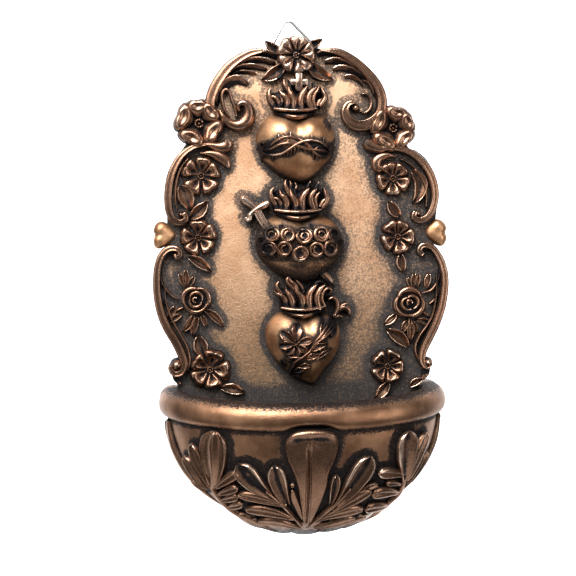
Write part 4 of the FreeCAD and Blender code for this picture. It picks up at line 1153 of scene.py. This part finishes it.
def frontLeafRise(rho, q):
    x, z = q[:, 0], q[:, 1]
    rib = x + 0.2 - 0.012 * (-85 - z)
    drop = np.clip((-78 - z) / 40, 0, 1)
    edge = np.clip(1 - rho ** 16, 0, 1) ** 0.5
    lip = np.clip((rho - 0.7) / 0.22, 0, 1) ** 2 * (0.35 + 0.8 * np.exp(-((z + 77) / 6) ** 2))
    top = 0.9 * np.exp(-((z + 77.4) / 1.7) ** 2)
    cup = 0.35 * np.exp(-((np.abs(rib) - 4.5) / 2.5) ** 2) * np.exp(-((z + 82) / 3.5) ** 2)
    ribs = 0.5 * (np.exp(-((rib - 0.7) / 0.4) ** 2) + np.exp(-((rib + 0.7) / 0.4) ** 2))
    ribs = ribs - 0.5 * np.exp(-(rib / 0.3) ** 2)
    body = 1.0 + 0.35 * drop + lip + top - cup + ribs * np.clip((-80 - z) / 8, 0, 1)
    return np.minimum(body, 2.6) * edge


# rows: path, half-widths, height, section
bowlLeaves = {
    "bowlSideLeafLeft": rows(
        "-14.6,-103.4 -20.4,-98.6 -24.4,-94.2 -27.2,-90.4 | 3.9 2.5 cup",
        "-7.8,-107.4 -10.4,-101.6 -12.2,-96 -13.6,-90.6 | 3.3 2.4 leaf",
        "-8.6,-107.8 -14,-106.2 -20,-104.8 -27.4,-103.6 | 1.9 2.3 finger",
        "-4.6,-114.6 -10,-112.6 -17,-111.2 -24.2,-110.7 | 2 2.3 finger",
        "-1.8,-120 -7,-118.2 -13,-117 -19,-116.9 | 1.8 2.2 finger",
        "-8.6,-122.6 -14,-121.2 -21,-118.2 -27.4,-114 | 1.5 2.1 finger",
        "-1.6,-114.8 -3.6,-109.4 -5.4,-104.8 -6.4,-100.8 | 1.1 2 finger",
        "-1.9,-110.6 -2.6,-106 -3.4,-101.6 | 0.2 0.55 0.3 | 1.7 round",
        "-1.4,-118.4 -7.4,-110.6 -11.7,-105.8 -16.4,-101.4 | 0.4 0.7 0.75 0.5 | 2.2 round"),
    "bowlSideLeafRight": rows(
        "11.4,-108.4 16,-102 20.2,-95.6 24.6,-88.2 | 4 2.5 leaf",
        "9,-107.8 10,-102.2 10.5,-98.4 10.8,-95 | 1.8 2.1 leaf",
        "10.4,-111.4 15.4,-108.6 20.4,-105.8 25.4,-102.8 | 2 2.4 finger",
        "4.2,-114.8 10.4,-113.4 16.6,-112.4 23.2,-111.4 | 1.9 2.3 finger",
        "3.3,-119.6 9.4,-119.2 15,-118.2 20.6,-116.4 | 1.7 2.2 finger",
        "3,-122.9 7.5,-122.1 11.8,-120.6 | 1.1 1.9 finger",
        "11,-123.2 18.7,-120.8 25.7,-116.8 | 1.3 2 finger",
        "0.6,-119.4 5.8,-113.2 10.7,-108.4 16.6,-101.2 | 0.4 0.7 0.75 0.5 | 2.2 round",
        "20,-103.6 24.6,-101.6 28.2,-100.8 | 1.2 1.9 leaf"),
    "bowlOuterLeafLeft": rows(
        "-36.9,-102.6 -36.6,-95.6 -36.7,-88.6 -36.8,-82.8 -35.9,-77.6 | 4.8 2.6 keel",
        "-37.2,-102.6 -39.8,-97.4 -42.6,-91.6 -45.2,-84 | 1.7 2.3 leaf",
        "-39,-103.6 -42,-100 -45.2,-95.4 -47.9,-90 | 1.6 2.2 leaf",
        "-35.6,-102 -32.4,-98.6 -29.6,-96 -27,-94.4 | 1.9 2.3 finger",
        "-34.8,-105 -31.6,-103 -29.2,-101.6 -27,-100.8 | 1.8 2.3 finger",
        "-33.8,-108 -31.2,-106.8 -28.8,-105.6 -26.8,-104.9 | 1.8 2.2 finger",
        "-31.6,-111.8 -29.4,-110.6 -27.2,-109.4 -25.2,-108.4 | 1.7 2.1 finger",
        "-37.5,-101.5 -35.1,-106 -31.1,-111.2 -27.1,-114.6 -20.1,-118.4 -14.8,-121.6 | 0.6 0.9 0.9 0.6 0.4 "
        "| 2.2 round",
        "-39.6,-104.4 -42.4,-103.4 -44.8,-101 | 1.2 2 leaf"),
    "bowlOuterLeafRight": rows(
        "40.3,-101.6 39.8,-94.6 39.8,-88 40.2,-83.4 40.7,-79.6 | 3.9 2.6 leaf",
        "41.4,-102 44.2,-95 46.6,-88.6 49.2,-81.8 | 2.3 2.4 finger",
        "42.7,-104 46,-100 48.8,-95.8 50.6,-91 | 1.7 2.2 leaf",
        "39.4,-98.6 35.8,-97.2 31.6,-96.4 27.8,-95.8 | 2.1 2.4 finger",
        "38.4,-107.2 34.6,-105.8 30.4,-105.2 25.8,-105.3 | 2.3 2.4 finger",
        "36,-113.8 32.2,-113.2 27.8,-112.8 23.9,-112.6 | 2.2 2.3 finger",
        "38.8,-103 35.4,-101.6 31.8,-101 | 1.2 2.1 finger",
        "40.2,-100.4 39.2,-108.2 35.2,-112.5 32.1,-117.7 24.1,-121.4 16.9,-123.2 | 0.6 0.9 0.9 0.6 0.4 | "
        "2.2 round"),
}


# a lobe is narrow at its foot and broad near its round end
lobeShape = "0,0.3 0.2,0.55 0.45,0.86 0.7,1 0.86,0.88 0.95,0.56 1,0.1"
lobeSwell = {"finger": 1.22, "leaf": 1.15, "cup": 1.12, "keel": 1.12}


def lobed(widths, section):
    if isinstance(widths, list):
        return widths
    return scaled(widths * lobeSwell[section], lobeShape)


# radii that turn angles on the bowl into lengths, for its side leaves and for its wear and painted shade
bowlScale = {"turn": 46, "drop": 50, "down": 48, "above": 47}


# the bowl's side by its turn from the wall and its drop from the brim, both as lengths
def onTurn(way):
    def ground(q, h):
        cx, cy, cz = bowlSettings["middle"]
        a, b, c = bowlSettings["outer"]
        turn, drop = q[:, 0] / bowlScale["turn"], q[:, 1] / bowlScale["drop"]
        out = np.stack([way * np.cos(drop) * np.cos(turn), -np.cos(drop) * np.sin(turn), -np.sin(drop)], -1)
        normal = out / np.array([a, b, c])
        normal /= np.linalg.norm(normal, axis=1, keepdims=True)
        return np.array([cx, cy, cz]) + out * np.array([a, b, c]) + normal * h[:, None]
    return ground


# the rounded underside below the leaves
def onUnder(q, h):
    cx, cy, cz = bowlSettings["middle"]
    a, b, c = bowlSettings["outer"]
    u, v = (q[:, 0] - cx) / a, (q[:, 1] - cy) / b
    return np.stack([q[:, 0], q[:, 1], cz - c * np.sqrt(np.clip(1 - u * u - v * v, 0, 1)) - h], -1)


edgeLeaves = {
    "bowlEdgeLeafLeft": rows(
        "9.5,3 8.5,9 9.5,19 12.5,31 18.5,43 | 0,1.6 0.2,3.6 0.5,3.9 0.8,2.8 1,0.8 | 1.4 2.2 2 1.2 0.1 | "
        "round",
        "6.5,4 3,8 1.8,15 4,24 | 0,0.8 0.3,2.2 0.7,2.2 1,0.6 | 1.8 round"),
    "bowlEdgeLeafRight": rows(
        "9.5,3 8.5,9 9.5,19 12.5,31 18.5,43 | 0,1.6 0.2,3.4 0.5,3.6 0.8,2.6 1,0.8 | 1.4 2.2 2 1.2 0.1 | "
        "keel",
        "6.5,4 3,8 1.8,15 4,24 | 0,0.8 0.3,2.2 0.7,2.2 1,0.6 | 1.8 round"),
}
underLobes = [(-21, 6.6, 9), (-10.5, 7.4, 11), (1.2, 7.6, 12), (12.8, 7.4, 11), (23.5, 6.6, 9)]

shells = [pad(frontLeaf["outline"], frontLeaf["middle"], frontLeafRise, onBowl, sink=0.8)]
for x, half, long in underLobes:
    shells.append(strip([(x * 1.15, -8 - 2.0 * long), (x, -8 - long), (x, -8)],
                        scaled(half, "0,0.7 0.5,1 1,0.8"), 2.2, "round", onUnder, sink=0.8))
keep("bowlFrontLeaf", shells, "leaf_bronze", "bowlRelief", 0.6)
for name, strips in bowlLeaves.items():
    shells = [strip(path, lobed(widths, section), high, section, onBowl, sink=0.8)
              for path, widths, high, section in strips]
    if name == "bowlSideLeafLeft":
        shells.append(bead((-6.4, -99.0), 1.2, 1.9, onBowl, sink=0.8))
    keep(name, shells, "leaf_bronze", "bowlRelief", 0.8)
for name, strips in edgeLeaves.items():
    side = onTurn(-1 if "Left" in name else 1)
    shells = [strip(path, widths, high, section, side, sink=0.8) for path, widths, high, section in strips]
    keep(name, shells, "leaf_bronze", "bowlRelief")
print("bowl leaves made")


# ---- wear and painted shade: where the relief stands proud, lies low or shadows the ground beside it ----

# millimetres: the grid's step, how far each blur reaches and between which depths a hollow fills
wearShadeGrid = {"step": 0.3, "margin": 3, "fine": 0.9, "wide": 2.6, "halo": 3.5, "bowlHalo": 1.8,
            "heartHalo": 1.2, "reach": 2.1, "spill": 0.12, "seen": 0.2, "plateHollow": (0.7, 2.7),
            "bowlHollow": (0.4, 2.3), "under": (-116, -126), "underShadeShare": 0.7, "back": -4.6,
            "backHalo": 0.34, "rimShadeTop": -66.5}
# how the worn and hollow values of some looks differ
wearShadeRules = {"rubbed": {"worn": 0.55, "hollow": 0.4}, "petals": {"worn": 0.55, "hollow": 0.75},
             "boss": {"hollow": 0.4, "halo": 0.28}}
# painted shade: how dark each heart gets towards its point and its edge, and how dark the heart stays
# between the roses of the garland
heartShade = {"upperHeart": 0.26, "middleHeart": 0.72, "lowerHeart": 0.3}
garlandShade = {"most": 0.8, "below": (-15, -10), "above": (0, 4.5)}


def blurred(field, sigma):
    reach = int(3 * sigma) + 1
    kernel = np.exp(-0.5 * (np.arange(-reach, reach + 1) / sigma) ** 2)
    kernel /= kernel.sum()
    for axis in (0, 1):
        padded = np.pad(field, [(reach, reach) if a == axis else (0, 0) for a in (0, 1)], mode="edge")
        total = np.zeros_like(field)
        for k, weight in enumerate(kernel):
            total += weight * np.take(padded, np.arange(k, k + field.shape[axis]), axis=axis)
        field = total
    return field


# the highest ground within reach of each cell
def highest(field, reach):
    top = field.copy()
    for i in range(-reach, reach + 1):
        for j in range(-reach, reach + 1):
            if 0 < i * i + j * j <= reach * reach + 1:
                top = np.maximum(top, np.roll(field, (i, j), axis=(0, 1)))
    return top


def frontView(points):
    return points[:, 0], points[:, 2], -points[:, 1]


# across and down the bowl's round, with the height above it
def bowlView(points):
    cx, cy, cz = bowlSettings["middle"]
    a, b, c = bowlSettings["outer"]
    d = (points - np.array([cx, cy, cz])) / np.array([a, b, c])
    reach = np.linalg.norm(d, axis=1)
    across = np.arctan2(d[:, 0], np.maximum(-d[:, 1], 1e-4))
    down = np.arcsin(np.clip(d[:, 2] / np.maximum(reach, 1e-6), -1, 1))
    return (across * bowlScale["turn"] * np.cos(down), down * bowlScale["down"],
            (reach - 1) * bowlScale["above"])


def sampled(field, u, v, origin, step):
    x = np.clip((u - origin[0]) / step, 0, field.shape[1] - 1.001)
    y = np.clip((v - origin[1]) / step, 0, field.shape[0] - 1.001)
    i, j = y.astype(int), x.astype(int)
    f, g = y - i, x - j
    return ((field[i, j] * (1 - g) + field[i, j + 1] * g) * (1 - f)
            + (field[i + 1, j] * (1 - g) + field[i + 1, j + 1] * g) * f)


# worn, hollow and halo for every point of the named shells, from a height grid of the view
def wearAndShadeOf(names, view, floor):
    step = wearShadeGrid["step"]
    views = {name: view(made[name]["points"]) for name in names}
    allU = np.concatenate([v[0] for v in views.values()])
    allV = np.concatenate([v[1] for v in views.values()])
    inFront, margin = view is frontView, wearShadeGrid["margin"]
    origin = (allU.min() - margin, allV.min() - margin)
    shape = (int((allV.max() - origin[1] + margin) / step) + 2,
             int((allU.max() - origin[0] + margin) / step) + 2)
    field = np.full(shape, floor)
    spots = {}
    for name, (u, v, h) in views.items():
        spots[name] = []
        for du in (-1, 0, 1):
            for dv in (-1, 0, 1):
                i = np.clip(np.round((v - origin[1]) / step).astype(int) + dv, 0, shape[0] - 1)
                j = np.clip(np.round((u - origin[0]) / step).astype(int) + du, 0, shape[1] - 1)
                spots[name].append((i, j, h - (wearShadeGrid["spill"] if du or dv else 0)))
                np.maximum.at(field, spots[name][-1][:2], spots[name][-1][2])
    onGround = np.zeros(shape)
    onHearts = np.zeros(shape)
    for name in names:
        look = made[name]["look"]
        for i, j, h in spots[name]:
            seen = h >= field[i, j] - wearShadeGrid["seen"]
            if look not in ("field", "bowl"):
                onGround[i[seen], j[seen]] = 1
            if look not in ("field", "bowl", "heart"):
                onHearts[i[seen], j[seen]] = 1
    # painted shadow of the rim: everything below its top counts as relief, so the field just above it
    # darkens
    if inFront:
        onGround[:int((wearShadeGrid["rimShadeTop"] - origin[1]) / step)] = 1
    top = blurred(highest(field, int(wearShadeGrid["reach"] / step)), 1.0)
    fine = blurred(field, wearShadeGrid["fine"] / step)
    wide = blurred(field, wearShadeGrid["wide"] / step)
    # halo: the ground darkens beside the relief, partly patina and partly painted shade
    haloGround = blurred(onGround, wearShadeGrid["halo" if inFront else "bowlHalo"] / step)
    haloHearts = blurred(onHearts, wearShadeGrid["heartHalo"] / step)
    for name, (u, v, h) in views.items():
        s = made[name]
        rule = wearShadeRules.get(s["look"], {})
        near = sampled(fine, u, v, origin, step)
        far = sampled(wide, u, v, origin, step)
        s["worn"] = smoothstep(0.1, 1.0, (h - near) * 0.9 + 0.3 * (h - far)) * s["wear"]
        s["worn"] = np.maximum(s["worn"], rule.get("worn", 0))
        ends = wearShadeGrid["plateHollow" if inFront else "bowlHollow"]
        # painted shade under the bowl: its underside darkens towards the bottom
        under = wearShadeGrid["underShadeShare"] * smoothstep(*wearShadeGrid["under"], s["points"][:, 2])
        # hollow: creases and recesses below the nearby highest relief darken, partly patina and partly
        # painted shade like ambient occlusion
        s["hollow"] = np.maximum(smoothstep(*ends, sampled(top, u, v, origin, step) - h), under)
        s["hollow"] *= rule.get("hollow", 1)
        s["halo"] = sampled(haloHearts if s["look"] == "heart" else haloGround, u, v, origin, step)
        if "halo" in rule:
            s["halo"][:] = rule["halo"]
        if name in heartShade:
            # painted shade: a heart darkens towards its point and where it meets the plate
            lower = 1 - smoothstep(0.15, 0.55, (v - v.min()) / np.ptp(v))
            side = 1 - smoothstep(0.1, 0.5, (h + wallFront) / np.ptp(h))
            shade = heartShade[name] * lower + side * (0.25 + 0.45 * lower)
            if name == "middleHeart":
                between = smoothstep(*garlandShade["below"], v)
                between = between * (1 - smoothstep(*garlandShade["above"], v))
                shade = np.maximum(shade, garlandShade["most"] * between)
            s["halo"] = np.maximum(s["halo"], shade)
        if s["look"] == "field":
            # painted light and shade: the upper field is painted cleaner and lighter, as if lit from above,
            # and the right side a little darker, away from the key light
            s["halo"] *= 1 - (0.86 - 0.12 * smoothstep(-10, 10, u)) * smoothstep(18, 52, v)
            s["halo"] += 0.17 * smoothstep(2, 24, u) * (1 - 0.6 * smoothstep(30, 60, v))
        # the side against the wall keeps an even patina
        behind = s["points"][:, 1] > wearShadeGrid["back"]
        s["halo"][behind] = wearShadeGrid["backHalo"]
        s["worn"][behind] = 0.0
        s["hollow"][behind] = 0.0


bowlNames = [name for name, s in made.items() if s["look"] in ("bowl", "bowlRelief")]
plateNames = [name for name in made if name not in bowlNames]
wearAndShadeOf(plateNames, frontView, -wallFront)
wearAndShadeOf(bowlNames, bowlView, 0.0)
print("wear worked out")


# ---- materials ----

# colours are linear; scales are per metre
bronzes = {
    "plate_bronze": {"bright": (0.8, 0.6, 0.46), "mid": (0.58, 0.355, 0.215),
        "dark": (0.026, 0.022, 0.021), "tint": (0.46, 0.255, 0.14), "lowShadeTint": (0.2, 0.118, 0.06),
        "haloShare": 1.6, "haloEnds": (-0.1, 1.0), "hollowShare": 0.5, "patinaShadeEnds": (0.08, 1.0),
        "ragged": 0.22, "speckle": 1.1, "rough": 0.46, "metal": 0.88, "dull": 0.12, "grain": 1.2,
        # painted shade: the plate's low tint darkens its lower part, as the lamps light it from above
        "bare": 0.36, "sand": 1500, "scatter": 0.2, "lowShadeShare": 0.3, "lowShadeEnds": (0.01, -0.065)},
    "bowl_bronze": {"bright": (0.66, 0.45, 0.31), "mid": (0.34, 0.18, 0.1), "dark": (0.012, 0.01, 0.01),
        "tint": (0.17, 0.083, 0.045), "haloShare": 0.9, "haloEnds": (0.02, 0.85), "hollowShare": 0.9,
        "patinaShadeEnds": (0.04, 0.72), "ragged": 0.4, "speckle": 1.1, "rough": 0.34, "metal": 0.95,
        "dull": 0.45, "grain": 0.4, "bare": 0.16, "sand": 1500, "scatter": 0.45, "lowShadeShare": 0},
    "heart_bronze": {"bright": (0.84, 0.56, 0.34), "mid": (0.64, 0.36, 0.19),
        "dark": (0.014, 0.011, 0.011), "tint": (0.31, 0.145, 0.068), "haloShare": 0.85,
        "haloEnds": (0.1, 0.9), "hollowShare": 0.32, "patinaShadeEnds": (0.06, 0.9), "ragged": 0.25,
        "speckle": 0.6, "rough": 0.41, "metal": 0.97, "dull": 0.3, "grain": 0.3, "bare": 0.35,
        "sand": 1500, "scatter": 0.15, "lowShadeShare": 0},
    "relief_bronze": {"bright": (0.86, 0.64, 0.5), "mid": (0.27, 0.145, 0.09),
        "dark": (0.005, 0.004, 0.005), "tint": (0.18, 0.095, 0.06), "haloShare": 0.0,
        "haloEnds": (0.02, 0.85), "hollowShare": 1.15, "patinaShadeEnds": (0.12, 0.66), "ragged": 0.4,
        "speckle": 0.3, "rough": 0.235, "metal": 0.95, "dull": 0.3, "grain": 0.3, "bare": 0.12,
        "sand": 1200, "scatter": 0.12, "lowShadeShare": 0},
    "leaf_bronze": {"bright": (0.82, 0.6, 0.46), "mid": (0.28, 0.155, 0.095),
        "dark": (0.005, 0.004, 0.005), "tint": (0.2, 0.105, 0.065), "haloShare": 0.0,
        "haloEnds": (0.02, 0.85), "hollowShare": 1.0, "patinaShadeEnds": (0.14, 0.74), "ragged": 0.4,
        "speckle": 0.3, "rough": 0.27, "metal": 0.95, "dull": 0.3, "grain": 0.3, "bare": 0.15,
        "sand": 1200, "scatter": 0.12, "lowShadeShare": 0},
}
wires = {
    "hanger_steel": {"base": (0.62, 0.60, 0.57), "low": (0.30, 0.27, 0.24), "rough": 0.30, "metal": 1.0},
    "hanger_brass": {"base": (0.66, 0.47, 0.24), "low": (0.24, 0.15, 0.08), "rough": 0.38, "metal": 1.0},
}


class Graph:
    def __init__(self, material):
        material.use_nodes = True
        self.material = material
        self.tree = material.node_tree
        self.tree.nodes.clear()
        self.out = self.tree.nodes.new("ShaderNodeOutputMaterial")
        self.shader = self.tree.nodes.new("ShaderNodeBsdfPrincipled")
        self.link(self.shader.outputs["BSDF"], self.out.inputs["Surface"])
        self.place = self.tree.nodes.new("ShaderNodeTexCoord").outputs["Object"]

    def link(self, source, target):
        self.tree.links.new(source, target)

    def put(self, value, target):
        if hasattr(value, "node"):
            self.link(value, target)
        else:
            target.default_value = value

    def noise(self, scale, detail=3.0, rough=0.55):
        node = self.tree.nodes.new("ShaderNodeTexNoise")
        node.inputs["Scale"].default_value = scale
        node.inputs["Detail"].default_value = detail
        node.inputs["Roughness"].default_value = rough
        self.link(self.place, node.inputs["Vector"])
        return node.outputs["Fac"]

    def math(self, kind, a, b=0.0, clamp=False):
        node = self.tree.nodes.new("ShaderNodeMath")
        node.operation = kind
        node.use_clamp = clamp
        self.put(a, node.inputs[0])
        self.put(b, node.inputs[1])
        return node.outputs[0]

    def step(self, value, low, high):
        node = self.tree.nodes.new("ShaderNodeMapRange")
        node.interpolation_type = "SMOOTHSTEP"
        self.link(value, node.inputs["Value"])
        node.inputs["From Min"].default_value = low
        node.inputs["From Max"].default_value = high
        return node.outputs["Result"]

    def mask(self, name):
        node = self.tree.nodes.new("ShaderNodeAttribute")
        node.attribute_name = name
        return node.outputs["Fac"]

    def mix(self, share, a, b):
        node = self.tree.nodes.new("ShaderNodeMix")
        node.data_type = "RGBA"
        self.put(share, node.inputs[0])
        self.put(a if hasattr(a, "node") else (*a, 1.0), node.inputs[6])
        self.put(b if hasattr(b, "node") else (*b, 1.0), node.inputs[7])
        return node.outputs[2]

    def bump(self, height, distance, strength, under=None):
        node = self.tree.nodes.new("ShaderNodeBump")
        node.inputs["Distance"].default_value = distance
        node.inputs["Strength"].default_value = strength
        self.link(height, node.inputs["Height"])
        if under is not None:
            self.link(under, node.inputs["Normal"])
        return node.outputs["Normal"]


# scale, detail and roughness of each noise
noises = {"blotch": (75, 4.0, 0.6), "cloud": (520, 4.0, 0.65), "grain": (1900, 4.0, 0.85),
          "bare": (1500, 3.0, 0.7), "coarse": (330, 3.0, 0.5), "wireCloud": (900, 4.0, 0.6),
          "wireGrain": (2400, 2.0, 0.5)}


# cast bronze with a dark patina and painted shade in the hollows and beside the relief, painted shade low
# down on the plate, and rubbed bright on the high places
def bronze(name, s):
    g = Graph(bpy.data.materials.new(name + "_look"))
    blotch = g.noise(*noises["blotch"])
    cloud = g.noise(*noises["cloud"])
    grain = g.noise(*noises["grain"])
    sand = g.noise(s["sand"], 3.0, 0.6)
    worn = g.mask("worn")
    low = g.math("MULTIPLY", g.mask("hollow"), s["hollowShare"])
    shade = g.math("MULTIPLY", g.step(g.mask("halo"), *s["haloEnds"]), s["haloShare"])
    # patina and painted shade: the hollow and halo masks darken the colour together, each partly patina and
    # partly painted shade
    patinaAndShade = g.math("ADD", low, shade)
    # painted shade: the plate gets darker towards the bottom, as the light falls from above
    if s["lowShadeShare"]:
        height = g.tree.nodes.new("ShaderNodeSeparateXYZ")
        g.link(g.place, height.inputs[0])
        shadeBelow = g.step(height.outputs["Z"], *s["lowShadeEnds"])
        patinaAndShade = g.math("ADD", patinaAndShade, g.math("MULTIPLY", shadeBelow, s["lowShadeShare"]))
    reachable = g.math("ADD", g.step(patinaAndShade, 0.0, 0.35), s["scatter"])
    ragged = g.math("MULTIPLY", g.math("SUBTRACT", cloud, 0.5), s["ragged"] * 2)
    fleck = g.math("MULTIPLY", g.math("SUBTRACT", sand, 0.5), s["speckle"] * 2)
    patinaAndShade = g.math("ADD", patinaAndShade, g.math("MULTIPLY", g.math("ADD", ragged, fleck), reachable), clamp=True)
    patinaAndShade = g.step(patinaAndShade, *s["patinaShadeEnds"])
    # sand grains that stay bare in the patina and painted shade
    bare = g.math("MULTIPLY", g.step(g.noise(*noises["bare"]), 0.5, 0.68), s["bare"])
    patinaAndShade = g.math("MULTIPLY", patinaAndShade, g.math("SUBTRACT", 1.0, bare))
    body = g.mix(g.step(blotch, 0.36, 0.66), s["mid"], s["tint"])
    # painted shade: the low part of the plate takes the darker low tint
    if s["lowShadeShare"]:
        body = g.mix(g.math("MULTIPLY", shadeBelow, 0.75), body, s["lowShadeTint"])
    rub = g.math("ADD", worn, g.math("MULTIPLY", g.math("SUBTRACT", cloud, 0.5), 0.5), clamp=True)
    body = g.mix(g.step(rub, 0.35, 1.1), body, s["bright"])
    g.link(g.mix(patinaAndShade, body, s["dark"]), g.shader.inputs["Base Color"])
    g.link(g.math("SUBTRACT", s["metal"], g.math("MULTIPLY", patinaAndShade, 0.6)), g.shader.inputs["Metallic"])
    gloss = g.math("SUBTRACT", 0.5, g.math("MULTIPLY", patinaAndShade, s["dull"]))
    g.link(gloss, g.shader.inputs["Specular IOR Level"])
    rough = g.math("ADD", s["rough"], g.math("MULTIPLY", patinaAndShade, 0.25))
    rough = g.math("ADD", rough, g.math("MULTIPLY", g.math("SUBTRACT", grain, 0.5), 0.25))
    rough = g.math("SUBTRACT", rough, g.math("MULTIPLY", worn, 0.06), clamp=True)
    g.link(rough, g.shader.inputs["Roughness"])
    coarse = g.bump(g.noise(*noises["coarse"]), 0.0004, 0.22 * s["grain"])
    fine = g.bump(g.math("ADD", grain, sand), 0.00018, s["grain"], coarse)
    g.link(fine, g.shader.inputs["Normal"])
    return g.material


def wire(name, s):
    g = Graph(bpy.data.materials.new(name + "_look"))
    cloud = g.noise(*noises["wireCloud"])
    g.link(g.mix(g.step(cloud, 0.45, 0.75), s["base"], s["low"]), g.shader.inputs["Base Color"])
    g.shader.inputs["Metallic"].default_value = s["metal"]
    g.link(g.math("ADD", s["rough"], g.math("MULTIPLY", g.math("SUBTRACT", cloud, 0.5), 0.3)),
           g.shader.inputs["Roughness"])
    g.link(g.bump(g.noise(*noises["wireGrain"]), 0.00005, 0.4), g.shader.inputs["Normal"])
    return g.material


materials = {name: bronze(name, s) for name, s in bronzes.items()}
materials.update({name: wire(name, s) for name, s in wires.items()})
print("materials made")


# ---- pieces into the scene ----

def nodeName(name):
    return "".join("_" + c.lower() if c.isupper() else c for c in name)


def addMesh(name, s):
    mesh = bpy.data.meshes.new(name)
    mesh.from_pydata((s["points"] / 1000).tolist(), [], s["faces"])
    mesh.validate()
    mesh.shade_smooth()
    if s["look"] in ("field", "bowl"):
        mesh.set_sharp_from_angle(angle=math.radians(48))
    for mask in ("worn", "hollow", "halo"):
        mesh.attributes.new(mask, "FLOAT", "POINT").data.foreach_set("value", s[mask].astype(np.float32))
    mesh.materials.append(materials[s["slot"]])
    piece = bpy.data.objects.new(name, mesh)
    bpy.context.scene.collection.objects.link(piece)
    return piece


for name, s in made.items():
    piece = addMesh(name, s)
    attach(piece, "root")
    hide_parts(nodeName(name))

for node, name in (("hanger_ring", "hanger_steel"), ("hanger_screw", "hanger_steel"),
                   ("hanger_strap", "hanger_brass")):
    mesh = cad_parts[node].data
    mesh.materials.clear()
    mesh.materials.append(materials[name])
print("pieces placed:", len(made))


# ---- camera, lights and backdrop ----

def addSheet(name, size, place, turn, colour, glow):
    bpy.ops.mesh.primitive_plane_add(size=size, location=place, rotation=turn)
    sheet = bpy.context.object
    sheet.name = name
    g = Graph(bpy.data.materials.new(name))
    tone = g.mix(g.noise(2.0), colour, tuple(c * 0.995 for c in colour))
    g.link(tone, g.shader.inputs["Base Color"])
    g.shader.inputs["Roughness"].default_value = 0.95
    if glow:
        g.link(tone, g.shader.inputs["Emission Color"])
        g.shader.inputs["Emission Strength"].default_value = glow
    sheet.data.materials.append(g.material)
    return sheet


def addLight(name, place, aim, size, energy, colour=(1, 1, 1)):
    light = bpy.data.lights.new(name, "AREA")
    light.shape = "RECTANGLE"
    light.size, light.size_y = size
    light.energy = energy
    light.color = colour
    lamp = bpy.data.objects.new(name, light)
    lamp.location = place
    lamp.rotation_euler = (Vector(aim) - Vector(place)).to_track_quat("-Z", "Y").to_euler()
    bpy.context.scene.collection.objects.link(lamp)
    return lamp


backdrop = addSheet("backdrop", 3.0, (0.1, 0.6, 0.2), (math.radians(90), 0, 0), (1, 1, 1), 1.0)
floor = addSheet("floor", 1.6, (0, 0, -0.9), (0, 0, 0), (0.85, 0.85, 0.85), 0)
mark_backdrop(backdrop, floor)

addLight("keyLight", (-0.28, -0.47, 0.44), (0, 0, 0.035), (0.6, 0.5), 8.0)
addLight("topLight", (-0.07, -0.24, 0.31), (-0.01, 0, 0.06), (0.2, 0.16), 2.3, (0.86, 0.94, 1.0))
addLight("fillLight", (0.55, -0.6, -0.02), (0, 0, -0.04), (0.3, 0.6), 2.4)
addLight("lowLight", (-0.6, -0.5, -0.1), (0, 0, -0.08), (0.25, 0.7), 0.9)

world = bpy.data.worlds.new("studio")
bpy.context.scene.world = world
world.use_nodes = True
sky = world.node_tree.nodes
skyHeight = sky.new("ShaderNodeSeparateXYZ")
skyTone = sky.new("ShaderNodeMapRange")
skyTone.inputs["From Min"].default_value = -0.5
skyTone.inputs["From Max"].default_value = 0.8
skyTone.inputs["To Min"].default_value = 0.06
skyTone.inputs["To Max"].default_value = 0.42
world.node_tree.links.new(sky.new("ShaderNodeTexCoord").outputs["Generated"], skyHeight.inputs[0])
world.node_tree.links.new(skyHeight.outputs["Z"], skyTone.inputs["Value"])
world.node_tree.links.new(skyTone.outputs["Result"], sky["Background"].inputs["Strength"])
sky["Background"].inputs["Color"].default_value = (0.95, 0.97, 1.0, 1)

cameraSettings = {"place": (-0.04414, -0.46147, 0.0081), "yaw": 5.0, "pitch": 4.0, "roll": -0.45,
                  "lens": 67.5}


def addCamera(s):
    yaw, pitch, roll = (math.radians(s[key]) for key in ("yaw", "pitch", "roll"))
    ahead = Vector((math.sin(yaw) * math.cos(pitch), math.cos(yaw) * math.cos(pitch), -math.sin(pitch)))
    right = Vector((math.cos(yaw), -math.sin(yaw), 0))
    up = right.cross(ahead)
    turned = right * math.cos(roll) + up * math.sin(roll)
    up = turned.cross(ahead)
    camera = bpy.data.objects.new("camera", bpy.data.cameras.new("camera"))
    camera.data.lens = s["lens"]
    camera.data.sensor_width = 36.0
    camera.matrix_world = Matrix((
        (turned.x, up.x, -ahead.x, s["place"][0]),
        (turned.y, up.y, -ahead.y, s["place"][1]),
        (turned.z, up.z, -ahead.z, s["place"][2]),
        (0, 0, 0, 1)))
    bpy.context.scene.collection.objects.link(camera)
    bpy.context.scene.camera = camera


addCamera(cameraSettings)
bpy.context.scene.view_settings.view_transform = "Standard"
print("camera and lights made")

boxes = {label: [[float(c) for c in corner] for corner in box]
         for label, box in (("cad", cadBox), ("visual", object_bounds()))}
